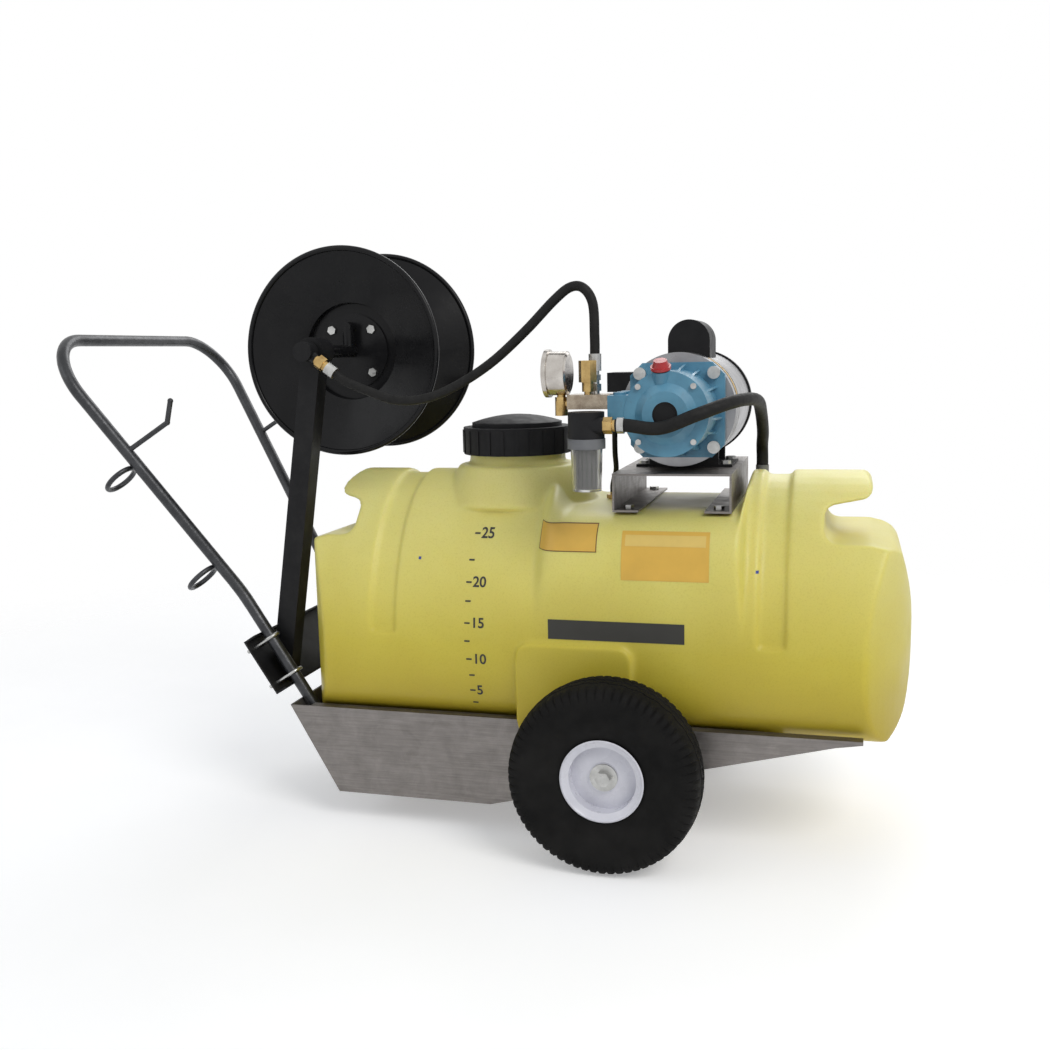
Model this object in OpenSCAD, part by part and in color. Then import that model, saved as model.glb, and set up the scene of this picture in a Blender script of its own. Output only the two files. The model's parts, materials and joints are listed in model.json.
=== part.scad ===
// Wheeled sprayer cart. Millimetres, +Z up, +X towards the tank's front end,
// handle at -X, origin on the ground under the middle of the overall box.

/* [Node] */

/* [Wheels] */
// outside diameter of a tyre
tyre_d = 273; // [250:1:300]
// width of a tyre
tyre_w = 85; // [70:1:100]
// diameter of the rim's rolled lip
rim_d = 118; // [110:1:126]
// distance between the two wheels' middles
track = 517; // [500:1:560]
// diameter of the axle
axle_d = 19; // [16:0.5:22]
// position of the axle along the cart
axle_x = 236; // [220:1:250]

/* [Tank] */
// overall length of the tank
tank_len = 934; // [900:1:980]
// width of the tank
tank_wid = 380; // [360:1:384]
// height of the tank's two end crests above its underside
crest_h = 381; // [370:1:400]
// height of the flat deck above the tank's underside
deck_h = 332; // [310:1:345]
// height of the tank's underside above the axle
tank_lift = 20.5; // [16:0.5:30]
// wall thickness of the tank
tank_wall = 5; // [4:0.5:8]
// radius of the bulged end faces seen from above
end_bulge_r = 305; // [295:1:400]
// width of a strap groove
groove_w = 40; // [30:1:50]
// depth of a strap groove
groove_deep = 7; // [4:1:10]
// radius of the filling neck
neck_r = 76; // [60:1:80]
// height of the filling neck above the crest
neck_h = 52; // [40:1:60]
// outer radius of the cap ring
cap_r = 87; // [84:1:95]
// height of the cap ring
cap_h = 42; // [36:1:50]

/* [Frame] */
// outside width of the folded trough
frame_w = 376; // [366:1:384]
// sheet thickness of the trough
sheet = 3; // [2:0.5:4]
// depth of the trough below the tank's underside
trough_deep = 110; // [90:1:115]
// width of the inward top flange
flange_w = 18; // [12:1:24]

/* [Handle] */
// outside diameter of the handle tube
handle_d = 19; // [16:1:25]
// wall thickness of the handle tube
handle_wall = 2; // [1.5:0.5:3]
// height of the handle plane's grip above the trough's top edge
grip_h = 574; // [540:1:620]
// slope of the handle plane
handle_slope = 57; // [54:1:60]
// half the straight length of the grip
grip_half = 155; // [130:1:180]
// bend radius beside the grip
grip_bend = 84; // [70:1:100]
// angle at which the upper legs draw together
leg_taper = 13; // [8:1:16]
// distance between the parallel lower legs
leg_gap = 298; // [280:1:310]
// rod diameter of hooks and wand rings
hook_rod = 8; // [6:1:10]
// inside diameter of a wand ring
wand_ring_d = 42; // [34:1:50]

/* [Reel] */
// outside diameter of a reel disc
reel_d = 339; // [300:1:350]
// distance between the two discs' rims
reel_w = 180; // [160:1:200]
// depth of a disc's dish
dish_deep = 50; // [40:1:60]
// radius of the winding drum
drum_r = 78; // [70:1:90]
// height of the reel axis above the deck
reel_up = 241; // [230:1:260]
// width of the square post
post_w = 32; // [25:1:40]
// wall thickness of the square post
post_wall = 2.5; // [2:0.5:4]
// diameter of the reel spindle
spindle_d = 20; // [16:1:24]
// reach of the hand crank
crank_reach = 110; // [80:1:130]

/* [Pump and motor] */
// diameter of the motor shell
motor_d = 165; // [155:1:172]
// length of the motor shell
motor_len = 215; // [190:1:240]
// height of the motor's axis above the bracket plate
shaft_h = 88.9; // [87:0.1:100]
// height of the bracket plate above the deck
bracket_h = 56; // [45:1:70]
// width of the bracket plate
bracket_w = 171; // [165:1:180]
// length of the bracket plate
bracket_len = 280; // [270:1:290]
// diameter of the motor shaft
shaft_d = 16; // [14:0.5:19]
// radius of the pump's front boss
boss_r = 43; // [38:1:48]

/* [Plumbing] */
// outside diameter of the pressure hose
pressure_od = 14; // [12:1:17]
// outside diameter of the suction hose
suction_od = 18; // [16:1:22]
// outside diameter of the bypass line
bypass_od = 8; // [6:1:10]
// diameter of the pressure gauge
gauge_d = 67; // [60:1:72]
// diameter of the strainer's head
strainer_d = 50; // [44:1:52]
// height of the strainer's bowl
bowl_h = 61; // [50:1:66]

/* [Fits] */
// radial gap of a shaft turning in a bore
run_gap = 0.05; // [0.01:0.01:0.1]
// gap between faces of pieces that move past each other
slide_gap = 0.3; // [0.2:0.1:0.5]

/* [Hidden] */
$fn = 48;
axle_z = tyre_d / 2;
wheel_y = track / 2;
hub_in = wheel_y - 22.5;
hub_out = wheel_y + 12.5;
bush_r = 17.5;
tank_z = axle_z + tank_lift;
crest_z = tank_z + crest_h;
deck_z = tank_z + deck_h;
tank_x0 = axle_x - 521;
tank_x1 = tank_x0 + tank_len;
tank_y = tank_wid / 2;
belt_z = tank_z + 143;
floor_z = tank_z + 291;
ceil_z = floor_z + 50;
slot_x0 = tank_x0 + 101;
slot_x1 = tank_x1 - 0.134 * tank_len;
lip_x0 = tank_x0 + 47;
lip_x1 = tank_x1 - 55;
deck_x0 = axle_x - 88;
deck_x1 = axle_x + 178;
groove_x0 = tank_x0 + 144;
groove_x1 = tank_x1 - 212;
groove_end_z = tank_z + 149;
cap_x = axle_x - 191;
neck_top = crest_z + neck_h;
cap_top = neck_top + 16;
cap_z = cap_top - cap_h;
dip_x = deck_x1 + 12;
dip_y = 52;
dip_r = 10;
tap_x = axle_x - 41;
tap_y = 20;
tap_r = 7;
bulge_x0 = axle_x - 146;
bulge_x1 = axle_x + 26;
bulge_out = 8;

frame_top = tank_z + 26;
pan_z = tank_z - trough_deep;
frame_y = frame_w / 2;
heel_x = axle_x - 441;
knee_x = axle_x - 193;
ramp_x = axle_x + 308;
tip_x = axle_x + 345;
pan_slope = (frame_top - 11 - pan_z) / (ramp_x - knee_x);
pan_end_x = knee_x + (tank_z - pan_z - sheet) / pan_slope;

grip_x = axle_x - 876;
grip_z = frame_top + grip_h;
leg_y = leg_gap / 2;
leg_r = handle_d / 2;
weld = 0.05;
foot_bend = 200;
bend1_s = grip_bend + grip_bend * sin(leg_taper);
bend1_y = grip_half + grip_bend * cos(leg_taper);
bend2_y = leg_y + foot_bend * (1 - cos(leg_taper));
bend2_s = bend1_s + (bend1_y - bend2_y) / tan(leg_taper);
bend3_s = bend2_s + foot_bend * sin(leg_taper);
leg_len = (bend1_y - bend2_y) / sin(leg_taper);
foot_s = (grip_z - pan_z - sheet - leg_r * cos(handle_slope)) / sin(handle_slope) - weld;
wall_top_x = grip_x + (grip_z - frame_top) / tan(handle_slope) - (leg_r + weld + sheet) / sin(handle_slope);
bolt_s = (grip_z - frame_top + 45) / sin(handle_slope);
ring_tilt = 43;
ring_r = wand_ring_d / 2 + hook_rod / 2;
hook_s = 208;
ring_s = [228, 422];

base_s0 = bend3_s + 47;
base_s1 = base_s0 + 98;
base_n = leg_r + 18;
base_half = leg_y + 28;
base_t = 3;
ubolt_rod = 6;
ubolt_s = [base_s0 + 16, base_s1 - 16];
ubolt_y = leg_r + ubolt_rod / 2 + weld;

reel_x = axle_x - 482;
reel_z = deck_z + reel_up;
reel_r = reel_d / 2;
spin_r = spindle_d / 2;
post_y = -112;
post_lean = 8.9;
boss_out = 22;
boss_y0 = post_y - 21;
boss_y1 = post_y + 21;
disc_y0 = post_y + 95;
disc_y1 = disc_y0 + reel_w;
disc_t = 2;
rim_bead = 4.5;
floor_y0 = disc_y0 + dish_deep;
floor_y1 = disc_y1 - dish_deep;
plate_r = 62;
hub_bolt_r = 50;
riser_r = 8;
riser_up = 40;
riser_y = floor_y0 - 20;
outlet_y = floor_y0 + 24;
outlet_len = 14;
crank_y = disc_y1 + 12;
crank_turn = 200;
knob_r = 12;
knob_len = 60;
swivel_y = boss_y0 - 12;
swivel_drop = 36;
fitting_len = 58;
straight_end = 78;

motor_x = axle_x + 80;
plate_z = deck_z + bracket_h;
motor_z = plate_z + shaft_h;
motor_r = motor_d / 2;
shaft_r = shaft_d / 2;
face_y = -95;
shell_y0 = -70;
shell_y1 = shell_y0 + motor_len;
bell_y1 = shell_y1 + 30;
plate_x0 = motor_x - 90;
plate_x1 = plate_x0 + bracket_w;
plate_y = bracket_len / 2;
foot_w = 38;
stud_off = 53;
case_r = 58;
cradle_y = shell_y0 + 80;
cap_y = 0;
case_y = -205;
cover_y = -214;
boss_y = -224;
oil_tilt = 22;
oil_y = -186;
oil_x = motor_x - 7;

head_x = axle_x - 27;
head_y = -228;
head_z = motor_z - 31;
head_r = strainer_d / 2;
head_h = 36;
bowl_r = head_r - 3;
suction_y = -241;
suction_z = head_z + 18;
suction_x = head_x + 43;
block_z = motor_z + 7;
block_h = 20;
block_x0 = axle_x - 60;
block_x1 = axle_x;
block_y0 = -202;
block_y1 = -150;
reg_x = axle_x - 33;
reg_y = -188;
stem_x = axle_x - 71;
stem_y = -188;
gauge_x = axle_x - 76;
gauge_z = motor_z + 57;
gauge_r = gauge_d / 2;
stem_top = gauge_z - gauge_r + 5;
out_x = axle_x - 28;
out_y = -161;
ferrule_len = 24;
out_top = block_z + block_h + 32;
hose_end_z = out_top + ferrule_len;
line_x = axle_x - 10;
line_z = block_z + block_h / 2;

// routes of the three hoses
pressure_route = [
    [reel_x + fitting_len * cos(swivel_drop), swivel_y, reel_z - fitting_len * sin(swivel_drop)],
    [reel_x + straight_end * cos(swivel_drop), swivel_y, reel_z - straight_end * sin(swivel_drop)],
    [reel_x + 104, swivel_y - 3, reel_z - 62],
    [reel_x + 146, swivel_y - 5, reel_z - 75],
    [reel_x + 194, swivel_y - 7, reel_z - 73],
    [reel_x + 244, swivel_y - 9, reel_z - 55],
    [reel_x + 300, swivel_y - 11, reel_z - 22],
    [reel_x + 352, swivel_y - 13, reel_z + 21],
    [reel_x + 395, swivel_y - 15, reel_z + 62],
    [reel_x + 420, swivel_y - 16, reel_z + 80],
    [reel_x + 439, swivel_y - 16, reel_z + 78],
    [out_x - 2, out_y, reel_z + 56],
    [out_x, out_y, hose_end_z + 24],
    [out_x, out_y, hose_end_z]
];
suction_route = [
    [suction_x, suction_y, suction_z],
    [suction_x + 16, suction_y, suction_z],
    [suction_x + 60, suction_y, suction_z - 4],
    [suction_x + 108, suction_y, suction_z + 13],
    [suction_x + 148, suction_y + 30, suction_z + 27],
    [suction_x + 170, suction_y + 80, suction_z + 30],
    [suction_x + 178, suction_y + 140, suction_z + 24],
    [suction_x + 178, suction_y + 200, suction_z + 6],
    [suction_x + 177, suction_y + 256, suction_z - 26],
    [dip_x, dip_y - 6, crest_z + 34],
    [dip_x, dip_y, crest_z + 14],
    [dip_x, dip_y, crest_z + 2]
];
bypass_route = [
    [line_x, block_y1, line_z],
    [line_x, block_y1 + 12, line_z],
    [line_x + 1, block_y1 + 34, line_z - 8],
    [line_x - 4, block_y1 + 56, line_z - 40],
    [line_x - 10, block_y1 + 86, line_z - 80],
    [line_x - 16, block_y1 + 124, line_z - 110],
    [tap_x + 6, tap_y - 18, deck_z + 34],
    [tap_x, tap_y, deck_z + 20],
    [tap_x, tap_y, deck_z + 10]
];

cream = [0.85, 0.8, 0.42];
steel = [0.62, 0.62, 0.6];
grey = [0.3, 0.31, 0.33];
black = [0.07, 0.07, 0.08];
blue = [0.2, 0.45, 0.58];
brass = [0.66, 0.5, 0.22];
zinc = [0.7, 0.71, 0.72];
chrome = [0.82, 0.83, 0.85];
rubber = [0.05, 0.05, 0.05];
white = [0.93, 0.93, 0.93];
red = [0.75, 0.1, 0.1];
clear = [0.85, 0.88, 0.9, 0.5];

tank();
cap_ring();
cap_disc();
dip_tube();
return_tap();
frame_trough();
axle();
wheel_bushes();
axle_bolts();
tyre_r();
rim_r();
tyre_l();
rim_l();
handle_tube();
frame_bolts();
hose_hooks();
wand_rings();
reel_base();
u_bolts();
reel_post();
reel_spindle();
reel_drum();
reel_disc_near();
reel_disc_far();
hub_bolts();
inlet_swivel();
hose_fittings();
hose_ends();
crank_arm();
crank_knob();
pump_bracket();
motor_cradle();
motor_shell();
motor_front();
motor_bell();
motor_rotor();
capacitor_cover();
conduit_box();
pump_case();
pump_cover();
sight_glass();
pump_studs();
oil_cap();
oil_cap_seal();
pump_manifold();
valve_body();
regulator_stem();
regulator_knob();
gauge_elbow();
gauge_case();
gauge_dial();
gauge_needle();
gauge_lens();
strainer_head();
strainer_collar();
strainer_bowl();
strainer_screen();
pressure_hose();
suction_hose();
bypass_line();

// ---- shared helpers ----

// turns a shape drawn along +Z to run along +Y
module along_y(y) {
    translate([0, y, 0]) rotate([-90, 0, 0]) children();
}

// turns a shape drawn along +Z to run along +X
module along_x(x) {
    translate([x, 0, 0]) rotate([0, 90, 0]) children();
}

module both_sides() {
    children();
    mirror([0, 1, 0]) children();
}

// local x runs down the handle plane, local z stands square to it
module in_plane() {
    translate([grip_x, 0, grip_z]) rotate([0, handle_slope, 0]) children();
}

module tube(r_out, r_in, h) {
    difference() {
        cylinder(r = r_out, h = h);
        translate([0, 0, -1]) cylinder(r = r_in, h = h + 2);
    }
}

module hex(across, h) {
    cylinder(d = across / cos(30), h = h, $fn = 6);
}

module hex_bolt(d, across, head, shank) {
    hex(across, head);
    translate([0, 0, -shank]) cylinder(d = d, h = shank + 0.5);
}

// side profile extruded symmetrically about the cart's middle plane
module slab(half) {
    rotate([90, 0, 0]) translate([0, 0, -half]) linear_extrude(2 * half) children();
}

// ---- swept hoses ----

function unit(v) = v / norm(v);
function spline(p, q, r, s, t) =
    0.5 * (2 * q + (r - p) * t + (2 * p - 5 * q + 4 * r - s) * t * t + (3 * q - p - 3 * r + s) * t * t * t);
function fine(route, n) = let (last = len(route) - 1) concat(
    [for (i = [0 : last - 1], k = [0 : n - 1])
        spline(route[max(i - 1, 0)], route[i], route[i + 1], route[min(i + 2, last)], k / n)],
    [route[last]]);
function heading(route, path, i) = let (last = len(path) - 1, end = len(route) - 1)
    i == 0 ? unit(route[1] - route[0]) :
    i == last ? unit(route[end] - route[end - 1]) : unit(path[i + 1] - path[i - 1]);

module hose(route, n, d, sides, ref) {
    path = fine(route, n);
    rings = len(path);
    points = [for (i = [0 : rings - 1])
        let (t = heading(route, path, i), u = unit(cross(ref, t)), v = cross(t, u))
        for (k = [0 : sides - 1])
            path[i] + (u * cos(360 * k / sides) + v * sin(360 * k / sides)) * d / 2];
    skin = [for (i = [0 : rings - 2], k = [0 : sides - 1])
        let (a = i * sides + k, b = i * sides + (k + 1) % sides)
        each [[a, b + sides, b], [a, a + sides, b + sides]]];
    caps = [[for (k = [0 : sides - 1]) k], [for (k = [sides - 1 : -1 : 0]) (rings - 1) * sides + k]];
    polyhedron(points, concat(skin, caps), convexity = 6);
}

// ---- tank ----

function ease(x, a, b) = let (t = min(1, max(0, (x - a) / (b - a)))) t * t * (3 - 2 * t);
function deckness(x) = ease(x, deck_x0 - 34, deck_x0 + 10) - ease(x, deck_x1 - 7, deck_x1 + 3);
function spow(v, p) = sign(v) * pow(abs(v), p);
function tank_ring(x, inset) =
    let (n = 1.9 + 4.1 * deckness(x), top = crest_z - (crest_h - deck_h) * deckness(x) - inset)
    [for (k = [0 : 63]) let (a = 360 * (k + 0.5) / 64, m = a < 180 ? n : 4)
        [(tank_y - inset) * spow(cos(a), 2 / m),
        belt_z + (a < 180 ? top - belt_z : belt_z - tank_z - inset) * spow(sin(a), 2 / m)]];

module tank_loft(inset) {
    marks = concat([tank_x0 - 4],
        [for (i = [0 : 6]) deck_x0 - 34 + i * 44 / 6],
        [for (i = [0 : 4]) deck_x1 - 7 + i * 2.5],
        [tank_x1 + 4]);
    points = [for (x = marks) for (p = tank_ring(x, inset)) [x, p[0], p[1]]];
    skin = [for (i = [0 : len(marks) - 2], k = [0 : 63])
        let (a = i * 64 + k, b = i * 64 + (k + 1) % 64)
        each [[a, a + 64, b + 64], [a, b + 64, b]]];
    caps = [[for (k = [0 : 63]) k], [for (k = [63 : -1 : 0]) (len(marks) - 1) * 64 + k]];
    polyhedron(points, concat(skin, caps), convexity = 4);
}

module tank_plan() {
    offset(r = 16) offset(delta = -16) hull() {
        for (x = [tank_x0 + end_bulge_r, tank_x1 - end_bulge_r]) {
            intersection() {
                translate([x, 0]) circle(end_bulge_r, $fn = 120);
                square([4 * tank_len, tank_wid + 1], center = true);
            }
        }
    }
}

module end_arcs() {
    arc_r = 450;
    foot_round = 66;
    offset(r = foot_round) offset(delta = -foot_round) hull() {
        for (x = [tank_x0 + arc_r, tank_x1 - arc_r]) {
            intersection() {
                translate([x, belt_z]) circle(arc_r, $fn = 180);
                translate([x - arc_r, tank_z]) square([2 * arc_r, crest_h + 60]);
            }
        }
    }
}

module tank_profile() {
    offset(r = -20) offset(delta = 20) offset(r = 12) offset(delta = -12) intersection() {
        end_arcs();
        polygon([
            [tank_x0, tank_z - 1],
            [tank_x1, tank_z - 1],
            [tank_x1, floor_z - 45],
            [tank_x1 - 8, floor_z - 28],
            [tank_x1 - 28, floor_z - 8],
            [tank_x1 - 60, floor_z],
            [slot_x1, floor_z],
            [slot_x1, ceil_z],
            [lip_x1, ceil_z + 12],
            [lip_x1, crest_z + 1],
            [lip_x0, crest_z + 1],
            [lip_x0, ceil_z + 12],
            [slot_x0, ceil_z],
            [slot_x0, floor_z],
            [tank_x0 + 60, floor_z],
            [tank_x0 + 28, floor_z - 8],
            [tank_x0 + 8, floor_z - 28],
            [tank_x0, floor_z - 45]
        ]);
    }
}

module tank_skin(inset) {
    intersection() {
        tank_loft(inset);
        linear_extrude(crest_z + 100) offset(delta = -inset) tank_plan();
        slab(tank_wid) offset(delta = -inset) tank_profile();
    }
}

module strap_groove(x, width, deep) {
    difference() {
        translate([x, -tank_wid, groove_end_z]) cube([width, 2 * tank_wid, crest_h]);
        translate([x - 1, 0, 0]) rotate([90, 0, 90]) linear_extrude(width + 2)
            polygon(tank_ring(tank_x0, deep));
    }
}

module strap_grooves(extra) {
    for (x = [groove_x0, groove_x1]) strap_groove(x - extra, groove_w + 2 * extra, groove_deep + extra);
}

// swelling over the axle that laps the trough's side
module side_bulge() {
    difference() {
        translate([0, tank_y + bulge_out, 0]) rotate([90, 0, 0]) linear_extrude(50)
            translate([bulge_x0, tank_z + 4]) offset(r = 20) offset(delta = -20)
                square([bulge_x1 - bulge_x0, 140]);
        translate([bulge_x0 - 1, 0, tank_z - 1])
            cube([bulge_x1 - bulge_x0 + 2, frame_y + 0.5, frame_top - tank_z + 1.5]);
    }
}

module tank() {
    color(cream) difference() {
        union() {
            difference() {
                tank_skin(0);
                strap_grooves(0);
            }
            both_sides() side_bulge();
            translate([cap_x, 0, crest_z - 48]) cylinder(h = 58, r1 = neck_r + 52, r2 = neck_r + 16, $fn = 72);
            translate([cap_x, 0, crest_z]) cylinder(h = neck_h, r = neck_r, $fn = 72);
        }
        difference() {
            tank_skin(tank_wall);
            strap_grooves(tank_wall);
        }
        translate([cap_x, 0, deck_z - 20]) cylinder(h = 200, r = neck_r - 8, $fn = 72);
        translate([dip_x, dip_y, deck_z]) cylinder(h = 100, r = dip_r + weld);
        translate([tap_x, tap_y, deck_z - 20]) cylinder(h = 100, r = tap_r + weld);
        for (x = [plate_x0 + 20, plate_x1 - 20], y = [-115, 115])
            translate([x, y, deck_z - 20]) cylinder(h = 30, d = 8.1);
    }
}

module cap_ring() {
    lip_z = neck_top + 7.3;
    color(black) translate([cap_x, 0, 0]) {
        difference() {
            translate([0, 0, cap_z]) cylinder(r = cap_r - 1.5, h = cap_h);
            translate([0, 0, cap_z - 1]) cylinder(r = neck_r + slide_gap, h = lip_z - cap_z + 1);
            translate([0, 0, cap_z]) cylinder(r = neck_r - 4, h = cap_h + 1);
        }
        for (i = [0 : 23]) rotate(15 * i) translate([cap_r - 3, -3, cap_z + 2]) cube([3, 6, cap_h - 6]);
    }
}

module cap_disc() {
    color(black) translate([cap_x, 0, neck_top]) {
        tube(neck_r - 0.5, neck_r - 8, 4);
        translate([0, 0, 3]) cylinder(r = neck_r - 0.5, h = 4);
        translate([0, 0, 3]) cylinder(r = neck_r - 4.5, h = 20);
        rotate_extrude() polygon(concat(
            [[0, 22], [neck_r - 4.5, 22]],
            [for (i = [6 : -1 : 0]) [(neck_r - 8) * i / 6, 35 - 11 * i * i / 36]]
        ));
    }
}

module dip_tube() {
    color(grey) translate([dip_x, dip_y, 0]) difference() {
        union() {
            translate([0, 0, tank_z + tank_wall + 8]) cylinder(r = 8, h = crest_h - 20);
            translate([0, 0, deck_z + 20]) cylinder(r = dip_r, h = crest_z + 2 - deck_z - 20);
        }
        translate([0, 0, tank_z]) cylinder(r = 6, h = crest_h + 10);
    }
}

module return_tap() {
    color(brass) translate([tap_x, tap_y, 0]) {
        translate([0, 0, deck_z - 12]) cylinder(r = tap_r, h = 12.5);
        translate([0, 0, deck_z]) hex(17, 6);
        translate([0, 0, deck_z + 5]) cylinder(r = 4, h = 5);
    }
}

// ---- frame and wheels ----

module frame_trough() {
    color(steel) difference() {
        union() {
            difference() {
                slab(frame_y) polygon([
                    [wall_top_x, frame_top],
                    [heel_x, pan_z],
                    [knee_x, pan_z],
                    [ramp_x, frame_top - 11],
                    [tip_x, frame_top - 5],
                    [tip_x, frame_top]
                ]);
                slab(frame_y - sheet) polygon([
                    [wall_top_x + 3.5, frame_top + 1],
                    [wall_top_x + 3.5, frame_top],
                    [heel_x + 2, pan_z + sheet],
                    [knee_x, pan_z + sheet],
                    [pan_end_x, tank_z],
                    [pan_end_x, tank_z - 20],
                    [tip_x + 1, tank_z - 20],
                    [tip_x + 1, frame_top + 1]
                ]);
            }
            both_sides() translate([wall_top_x + 34, frame_y - flange_w, frame_top - sheet])
                cube([tip_x - wall_top_x - 34, flange_w - 1, sheet]);
            tank_saddles();
        }
        translate([axle_x, 0, axle_z]) along_y(-frame_w) cylinder(d = axle_d, h = 2 * frame_w);
        in_plane() for (y = [-leg_y, leg_y]) translate([bolt_s, y, -40]) cylinder(r = 4.1, h = 60);
    }
}

// cross members that carry the tank's underside
module tank_saddles() {
    x0 = pan_end_x - 130;
    x1 = pan_end_x - 60;
    slab(90) {
        polygon([
            [x0, pan_z + sheet - 1 + (x0 - knee_x) * pan_slope],
            [x1, pan_z + sheet - 1 + (x1 - knee_x) * pan_slope],
            [x1, tank_z],
            [x0, tank_z]
        ]);
        translate([knee_x - 150, pan_z + 1]) square([60, tank_z - pan_z - 1]);
    }
}

module axle() {
    color(zinc) translate([axle_x, 0, axle_z]) difference() {
        union() {
            along_y(-hub_out) cylinder(d = axle_d, h = 2 * hub_out);
            both_sides() along_y(frame_y) cylinder(r = axle_d / 2 + 6, h = hub_in - slide_gap - frame_y);
        }
        both_sides() along_y(hub_out - 20) cylinder(d = 8.1, h = 30);
    }
}

module tyre_section() {
    round = 16;
    intersection() {
        union() {
            for (s = [-1, 1]) translate([tyre_d / 2 - 3 - round, s * (tyre_w / 2 - round)]) circle(round);
            polygon([
                [rim_d / 2 - 9, -22],
                [rim_d / 2 - 2, -25],
                [rim_d / 2 + 6, -31],
                [rim_d / 2 + 34, -tyre_w / 2],
                [tyre_d / 2 - 3 - round, -tyre_w / 2],
                [tyre_d / 2, -tyre_w / 2 + round],
                [tyre_d / 2, tyre_w / 2 - round],
                [tyre_d / 2 - 3 - round, tyre_w / 2],
                [rim_d / 2 + 34, tyre_w / 2],
                [rim_d / 2 + 6, 31],
                [rim_d / 2 - 2, 25],
                [rim_d / 2 - 9, 22]
            ]);
        }
        translate([tyre_d / 2 - 110, 0]) circle(110, $fn = 96);
    }
}

module tyre() {
    color(rubber) translate([axle_x, wheel_y, axle_z]) rotate([-90, 0, 0]) difference() {
        rotate_extrude($fn = 96) tyre_section();
        rotate_extrude($fn = 96) polygon([
            [rim_d / 2 - 10, -15],
            [rim_d / 2 + 2, -18],
            [rim_d / 2 + 34, 8 - tyre_w / 2],
            [tyre_d / 2 - 22, 8 - tyre_w / 2],
            [tyre_d / 2 - 10, 20 - tyre_w / 2],
            [tyre_d / 2 - 10, tyre_w / 2 - 20],
            [tyre_d / 2 - 22, tyre_w / 2 - 8],
            [rim_d / 2 + 34, tyre_w / 2 - 8],
            [rim_d / 2 + 2, 18],
            [rim_d / 2 - 10, 15]
        ]);
    }
}

module rim() {
    seat = rim_d / 2 - 9;
    lip = rim_d / 2;
    bore = bush_r + run_gap;
    color(white) translate([axle_x, wheel_y, axle_z]) rotate([-90, 0, 0]) rotate_extrude($fn = 96) polygon([
        [seat, -23],
        [seat, 23],
        [lip - 1.5, 27],
        [lip, 30.5],
        [lip - 2, 31.5],
        [lip - 4.5, 29.5],
        [seat - 2.5, 25.5],
        [seat - 2.5, 7],
        [bore + 3, 11],
        [bore + 3, 12],
        [bore, 12],
        [bore, -22],
        [bore + 3, -22],
        [bore + 3, 7],
        [seat - 2.5, 3],
        [seat - 2.5, -25.5],
        [lip - 4.5, -29.5],
        [lip - 2, -31.5],
        [lip, -30.5],
        [lip - 1.5, -27]
    ]);
}

module wheel_bushes() {
    color(zinc) translate([axle_x, 0, axle_z]) both_sides() for (y = [hub_in, hub_out - 12])
        along_y(y) tube(bush_r, axle_d / 2 + weld, 12);
}

module axle_bolts() {
    color(zinc) translate([axle_x, 0, axle_z]) both_sides() along_y(hub_out + slide_gap) {
        cylinder(r = bush_r + 2, h = 2.5);
        translate([0, 0, 2]) hex(19, 9);
        translate([0, 0, -19]) cylinder(d = 8, h = 20);
    }
}

module tyre_l() {
    tyre();
}

module rim_l() {
    rim();
}

module tyre_r() {
    mirror([0, 1, 0]) tyre();
}

module rim_r() {
    mirror([0, 1, 0]) rim();
}

// ---- handle ----

module upper_leg(r) {
    translate([bend1_s, bend1_y, 0]) rotate(-leg_taper) along_x(-1) cylinder(r = r, h = leg_len + 2);
}

// one bent tube of radius r, grip first, drawn in the handle plane; the straights run a hair
// thinner and 1 mm into the bends
module handle_path(r, over) {
    rod = r - 0.1;
    along_y(-grip_half - 1) cylinder(r = rod, h = 2 * grip_half + 2);
    both_sides() {
        translate([grip_bend, grip_half, 0]) rotate(90 - leg_taper)
            rotate_extrude(angle = 90 + leg_taper, $fn = 96) translate([grip_bend, 0]) circle(r, $fn = 48);
        upper_leg(rod);
        translate([bend3_s, leg_y + foot_bend, 0]) rotate(-90 - leg_taper)
            rotate_extrude(angle = leg_taper, $fn = 96) translate([foot_bend, 0]) circle(r, $fn = 48);
        translate([0, leg_y, 0]) along_x(bend3_s - 1) cylinder(r = rod, h = foot_s - bend3_s + 1 + over);
    }
}

module handle_tube() {
    color(grey) in_plane() difference() {
        handle_path(leg_r, 0);
        handle_path(leg_r - handle_wall, 1);
        for (y = [-leg_y, leg_y]) translate([bolt_s, y, -40]) cylinder(r = 4.1, h = 80);
    }
}

function leg_at(s) = bend1_y - (s - bend1_s) * tan(leg_taper);

// rod between two points of the side plane, with a ball at its far end
module side_rod(x0, z0, x1, z1, r) {
    long = norm([x1 - x0, z1 - z0]);
    translate([x0, 0, z0]) rotate([0, atan2(x1 - x0, z1 - z0), 0]) cylinder(r = r, h = long);
    translate([x1, 0, z1]) sphere(r = r + 0.4, $fn = 32);
}

module hose_hooks() {
    x = grip_x + hook_s * cos(handle_slope);
    z = grip_z - hook_s * sin(handle_slope);
    color(grey) both_sides() difference() {
        translate([x, leg_at(hook_s), z]) {
            side_rod(0, 0, 75, 45, hook_rod / 2);
            side_rod(75, 45, 83, 78, hook_rod / 2);
        }
        in_plane() upper_leg(leg_r);
    }
}

module wand_rings() {
    out = leg_r + ring_r + hook_rod / 2 + weld;
    color(grey) for (s = ring_s)
        translate([grip_x + s * cos(handle_slope), -leg_at(s), grip_z - s * sin(handle_slope)])
            rotate([0, -ring_tilt, 0]) translate([-out, 0, 0])
                rotate_extrude($fn = 64) translate([ring_r, 0]) circle(hook_rod / 2, $fn = 24);
}

// ---- reel ----

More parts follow.
